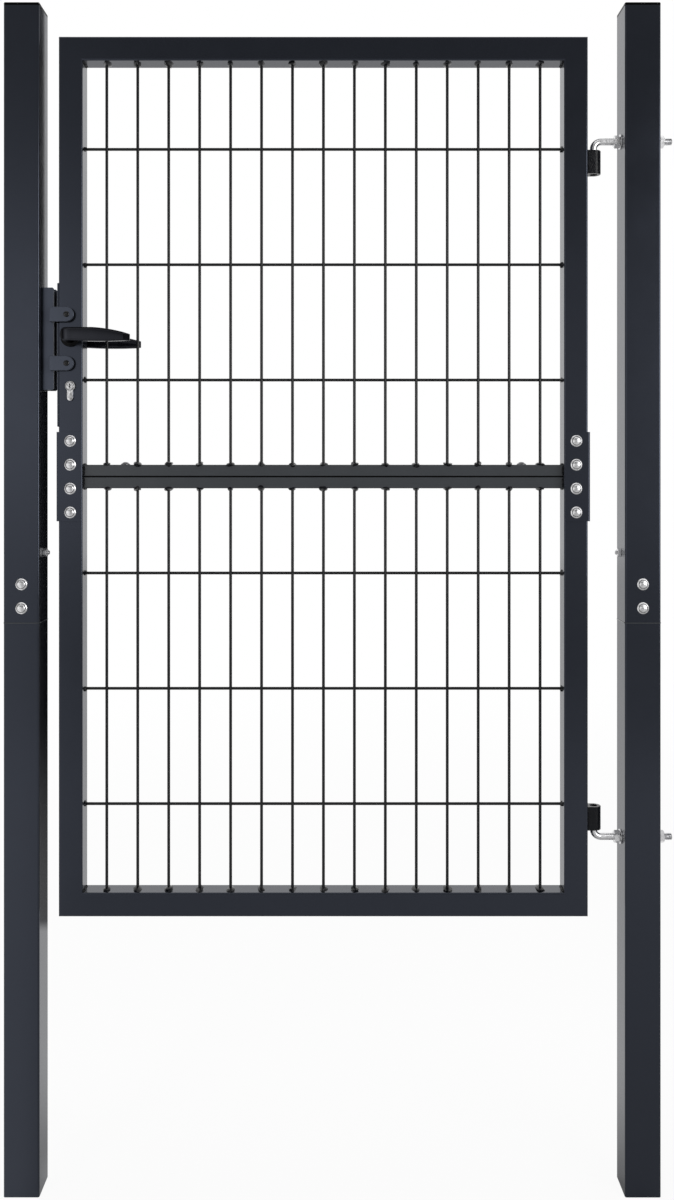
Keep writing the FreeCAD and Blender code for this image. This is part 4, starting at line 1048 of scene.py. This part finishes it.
class GATE_OT_light_studio(Operator):
    """Make the floor, the lamps, the surroundings and the camera"""

    bl_idname = "gate.light_studio"
    bl_label = "Light the studio"

    def execute(self, context):
        scene = context.scene
        studio = scene.gate_studio
        self.surround(scene, studio.ambient)
        self.floor(scene)
        middle = (-0.512, 0, 1.1)
        left = self.lamp(scene, "left_lamp", (-2.6, -3.0, 2.1), middle, (0.9, 1.3), studio.left)
        left.visible_glossy = False
        self.lamp(scene, "right_lamp", (1.9, -2.5, 1.7), middle, (1.8, 2.0), studio.right)
        self.flags(scene)
        camera = bpy.data.cameras.new("camera")
        camera.lens = 35.28
        camera.sensor_width = 36
        camera.shift_y = -0.1083
        camera.clip_end = 100
        view = bpy.data.objects.new("camera", camera)
        view.location = LENS
        view.rotation_euler = (math.pi / 2, 0, 0)
        scene.collection.objects.link(view)
        scene.camera = view
        scene.view_settings.view_transform = "Standard"
        return {"FINISHED"}

    def surround(self, scene, ambient):
        """White to the camera; to gloss, white behind, dim above and in front, paler at left."""
        world = bpy.data.worlds.new("Studio")
        world.use_nodes = True
        scene.world = world
        tree = world.node_tree
        back = tree.nodes["Background"]
        across, deep, up = coordinates(tree, "Generated")
        camera, glossy, through = rays(tree, "Camera", "Glossy", "Transmission")
        behind = deep.ramp(0.05, 0.30)
        high = up.ramp(0.11, 0.26) * up.ramp(0.75, 0.55)
        patch = (across.ramp(-0.15, -0.24) * across.ramp(-0.46, -0.34)
                 * (0.55 + 0.45 * up.ramp(-0.05, 0.015)))
        right = across.ramp(0.40, 0.52) * across.ramp(0.97, 0.90)
        left = across.ramp(-0.40, -0.52) * across.ramp(-0.97, -0.90)
        ceiling = up.ramp(0.55, 0.75) * up.ramp(0.97, 0.90)
        front = 0.46 + 0.9 * (right + left).larger(ceiling)
        front = front * (1 - 0.60 * high) * (1 - 0.80 * deep.ramp(-0.45, -0.20))
        front = front + 0.78 * patch * (1 - 0.87 * up.ramp(0.08, 0.34))
        seen = camera.larger(through)
        strength = seen + glossy * front.larger(behind) + ambient * (1 - seen.larger(glossy))
        back.inputs["Color"].default_value = (1, 1, 1, 1)
        wire_up(tree, (strength.socket, back.inputs["Strength"]),
                (back.outputs[0], tree.nodes["World Output"].inputs["Surface"]))

    def flags(self, scene):
        """Dark cards close behind the gate that only the latch post's inner face mirrors.

        A ray from the camera to the face at depth y goes on to face + slope (Y - y), where
        slope = (camera - face) / (camera distance + y). The foot of the cards fades out, and
        they are thinner below.
        """
        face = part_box("latch_post_upper")[1].x
        place = 45 * MM

        def mirrored(deep, height):
            slope = (LENS[0] - face) / (deep - LENS[1])
            rise = (height - LENS[2]) / (deep - LENS[1])
            return face + slope * (place - deep), height + rise * (place - deep)

        wide, near = face + 0.5 * MM, face + 30 * MM
        half = mirrored(4 * MM, 1.2)[0]
        low, middle, top = (mirrored(0, height)[1] for height in (0.443, 1.351, 2.1))
        fade, thin_part = 12 * MM, 400 * MM
        foot = low - fade
        points = [(wide, place, foot), (near, place, foot), (near, place, middle),
                  (wide, place, middle), (half, place, middle), (near, place, top),
                  (half, place, top)]
        mesh = bpy.data.meshes.new("dark_cards")
        mesh.from_pydata(points, [], [(0, 1, 2, 4, 3), (4, 2, 5, 6)])
        dark = bpy.data.materials.new("Dark card")
        dark.use_nodes = True
        tree = dark.node_tree
        shader = tree.nodes["Principled BSDF"]
        shader.inputs["Base Color"].default_value = (0.040, 0.040, 0.042, 1)
        shader.inputs["Roughness"].default_value = 1.0
        shader.inputs["Specular IOR Level"].default_value = 0.0
        up = coordinates(tree, "Object")[2]
        alpha = (0.76 + 0.24 * up.ramp(low, low + thin_part)) * up.ramp(foot, low + fade)
        tree.links.new(alpha.socket, shader.inputs["Alpha"])
        mesh.materials.append(dark)
        cards = bpy.data.objects.new("dark_cards", mesh)
        for sight in ("camera", "diffuse", "transmission", "shadow", "volume_scatter"):
            setattr(cards, f"visible_{sight}", False)
        scene.collection.objects.link(cards)

    def floor(self, scene):
        """A pale round floor: nearly white to the camera and behind, dimmer to gloss in front."""
        radius, drop = 14, 0.5 * MM
        rim = lathe([(radius, -drop)], 64)[0]
        mesh = bpy.data.meshes.new("floor")
        mesh.from_pydata(rim.tolist(), [], [list(range(len(rim)))])
        pale = bpy.data.materials.new("Floor")
        pale.use_nodes = True
        tree = pale.node_tree
        shader = tree.nodes["Principled BSDF"]
        shader.inputs["Roughness"].default_value = 0.9
        shader.inputs["Specular IOR Level"].default_value = 0.1
        across, deep = coordinates(tree, "Object")[:2]
        camera, glossy = rays(tree, "Camera", "Glossy")
        # Paler in a patch at the left, and glowing there and behind to gloss: painted reflection
        # for the posts' front faces.
        left = (across + -0.245 * deep).ramp(-0.97, -1.05) * deep.ramp(0.2, 0.0)
        behind = deep.ramp(-0.1, 0.5)
        tone = 0.56 + 0.30 * behind + 0.30 * left
        paint = add(tree, "CombineColor")
        reach = add(tree, "VectorMath", operation="LENGTH")
        tree.links.new(add(tree, "TexCoord").outputs["Object"], reach.inputs[0])
        far = Value(tree, reach.outputs["Value"]).ramp(1.2, 5.0)
        share = camera * (0.94 + 0.06 * far) + 0.6 * glossy * behind.larger(left)
        glow = add(tree, "Emission")
        glow.inputs["Color"].default_value = (1, 1, 1, 1)
        mix = add(tree, "MixShader")
        wire_up(tree, *((tone.socket, level) for level in paint.inputs),
                (paint.outputs[0], shader.inputs["Base Color"]),
                (share.socket, mix.inputs[0]), (shader.outputs[0], mix.inputs[1]),
                (glow.outputs[0], mix.inputs[2]),
                (mix.outputs[0], tree.nodes["Material Output"].inputs["Surface"]))
        mesh.materials.append(pale)
        ground = bpy.data.objects.new("floor", mesh)
        scene.collection.objects.link(ground)

    def lamp(self, scene, name, place, target, size, power):
        """A rectangular soft lamp that points at a target."""
        data = bpy.data.lights.new(name, "AREA")
        data.shape = "RECTANGLE"
        data.size, data.size_y = size
        data.energy = power
        lamp = bpy.data.objects.new(name, data)
        lamp.location = place
        way = np.array(target, float) - np.array(place, float)
        level = math.hypot(way[0], way[1])
        lamp.rotation_euler = (math.atan2(level, -way[2]), 0, math.atan2(way[1], way[0])
                               - math.pi / 2)
        scene.collection.objects.link(lamp)
        return lamp


STEPS = (GATE_OT_coat_steel, GATE_OT_cap_posts, GATE_OT_weave_mesh, GATE_OT_weld_frame,
         GATE_OT_fit_bolts, GATE_OT_hang_hinges, GATE_OT_fit_lock, GATE_OT_fit_levers,
         GATE_OT_fit_stops, GATE_OT_light_studio)


class GATE_PT_builder(Panel):
    """Lists the gate's building steps, sizes and colours"""

    bl_idname = "GATE_PT_builder"
    bl_label = "Garden gate"
    bl_space_type = "VIEW_3D"
    bl_region_type = "UI"
    bl_category = "Gate"

    def draw(self, context):
        for step in STEPS:
            self.layout.operator(step.bl_idname)
        for label in SETTINGS:
            group = getattr(context.scene, label)
            box = self.layout.box()
            for name in group.bl_rna.properties.keys():
                if name not in ("rna_type", "name"):
                    box.prop(group, name)


SETTINGS = {
    "gate_finishes": GateFinishes,
    "gate_fastenings": GateFastenings,
    "gate_mesh": GateMesh,
    "gate_levers": GateLevers,
    "gate_studio": GateStudio,
}


def register():
    for label, group in SETTINGS.items():
        bpy.utils.register_class(group)
        setattr(bpy.types.Scene, label, PointerProperty(type=group))
    for step in STEPS:
        bpy.utils.register_class(step)
    bpy.utils.register_class(GATE_PT_builder)


def unregister():
    bpy.utils.unregister_class(GATE_PT_builder)
    for step in reversed(STEPS):
        bpy.utils.unregister_class(step)
    for label, group in reversed(SETTINGS.items()):
        delattr(bpy.types.Scene, label)
        bpy.utils.unregister_class(group)


def main():
    register()
    bpy.ops.gate.coat_steel()
    bpy.ops.gate.cap_posts()
    bpy.ops.gate.weave_mesh()
    bpy.ops.gate.weld_frame()
    bpy.ops.gate.fit_bolts()
    bpy.ops.gate.hang_hinges()
    bpy.ops.gate.fit_lock()
    bpy.ops.gate.fit_levers()
    bpy.ops.gate.fit_stops()
    bpy.ops.gate.light_studio()


if __name__ == "__main__":
    main()
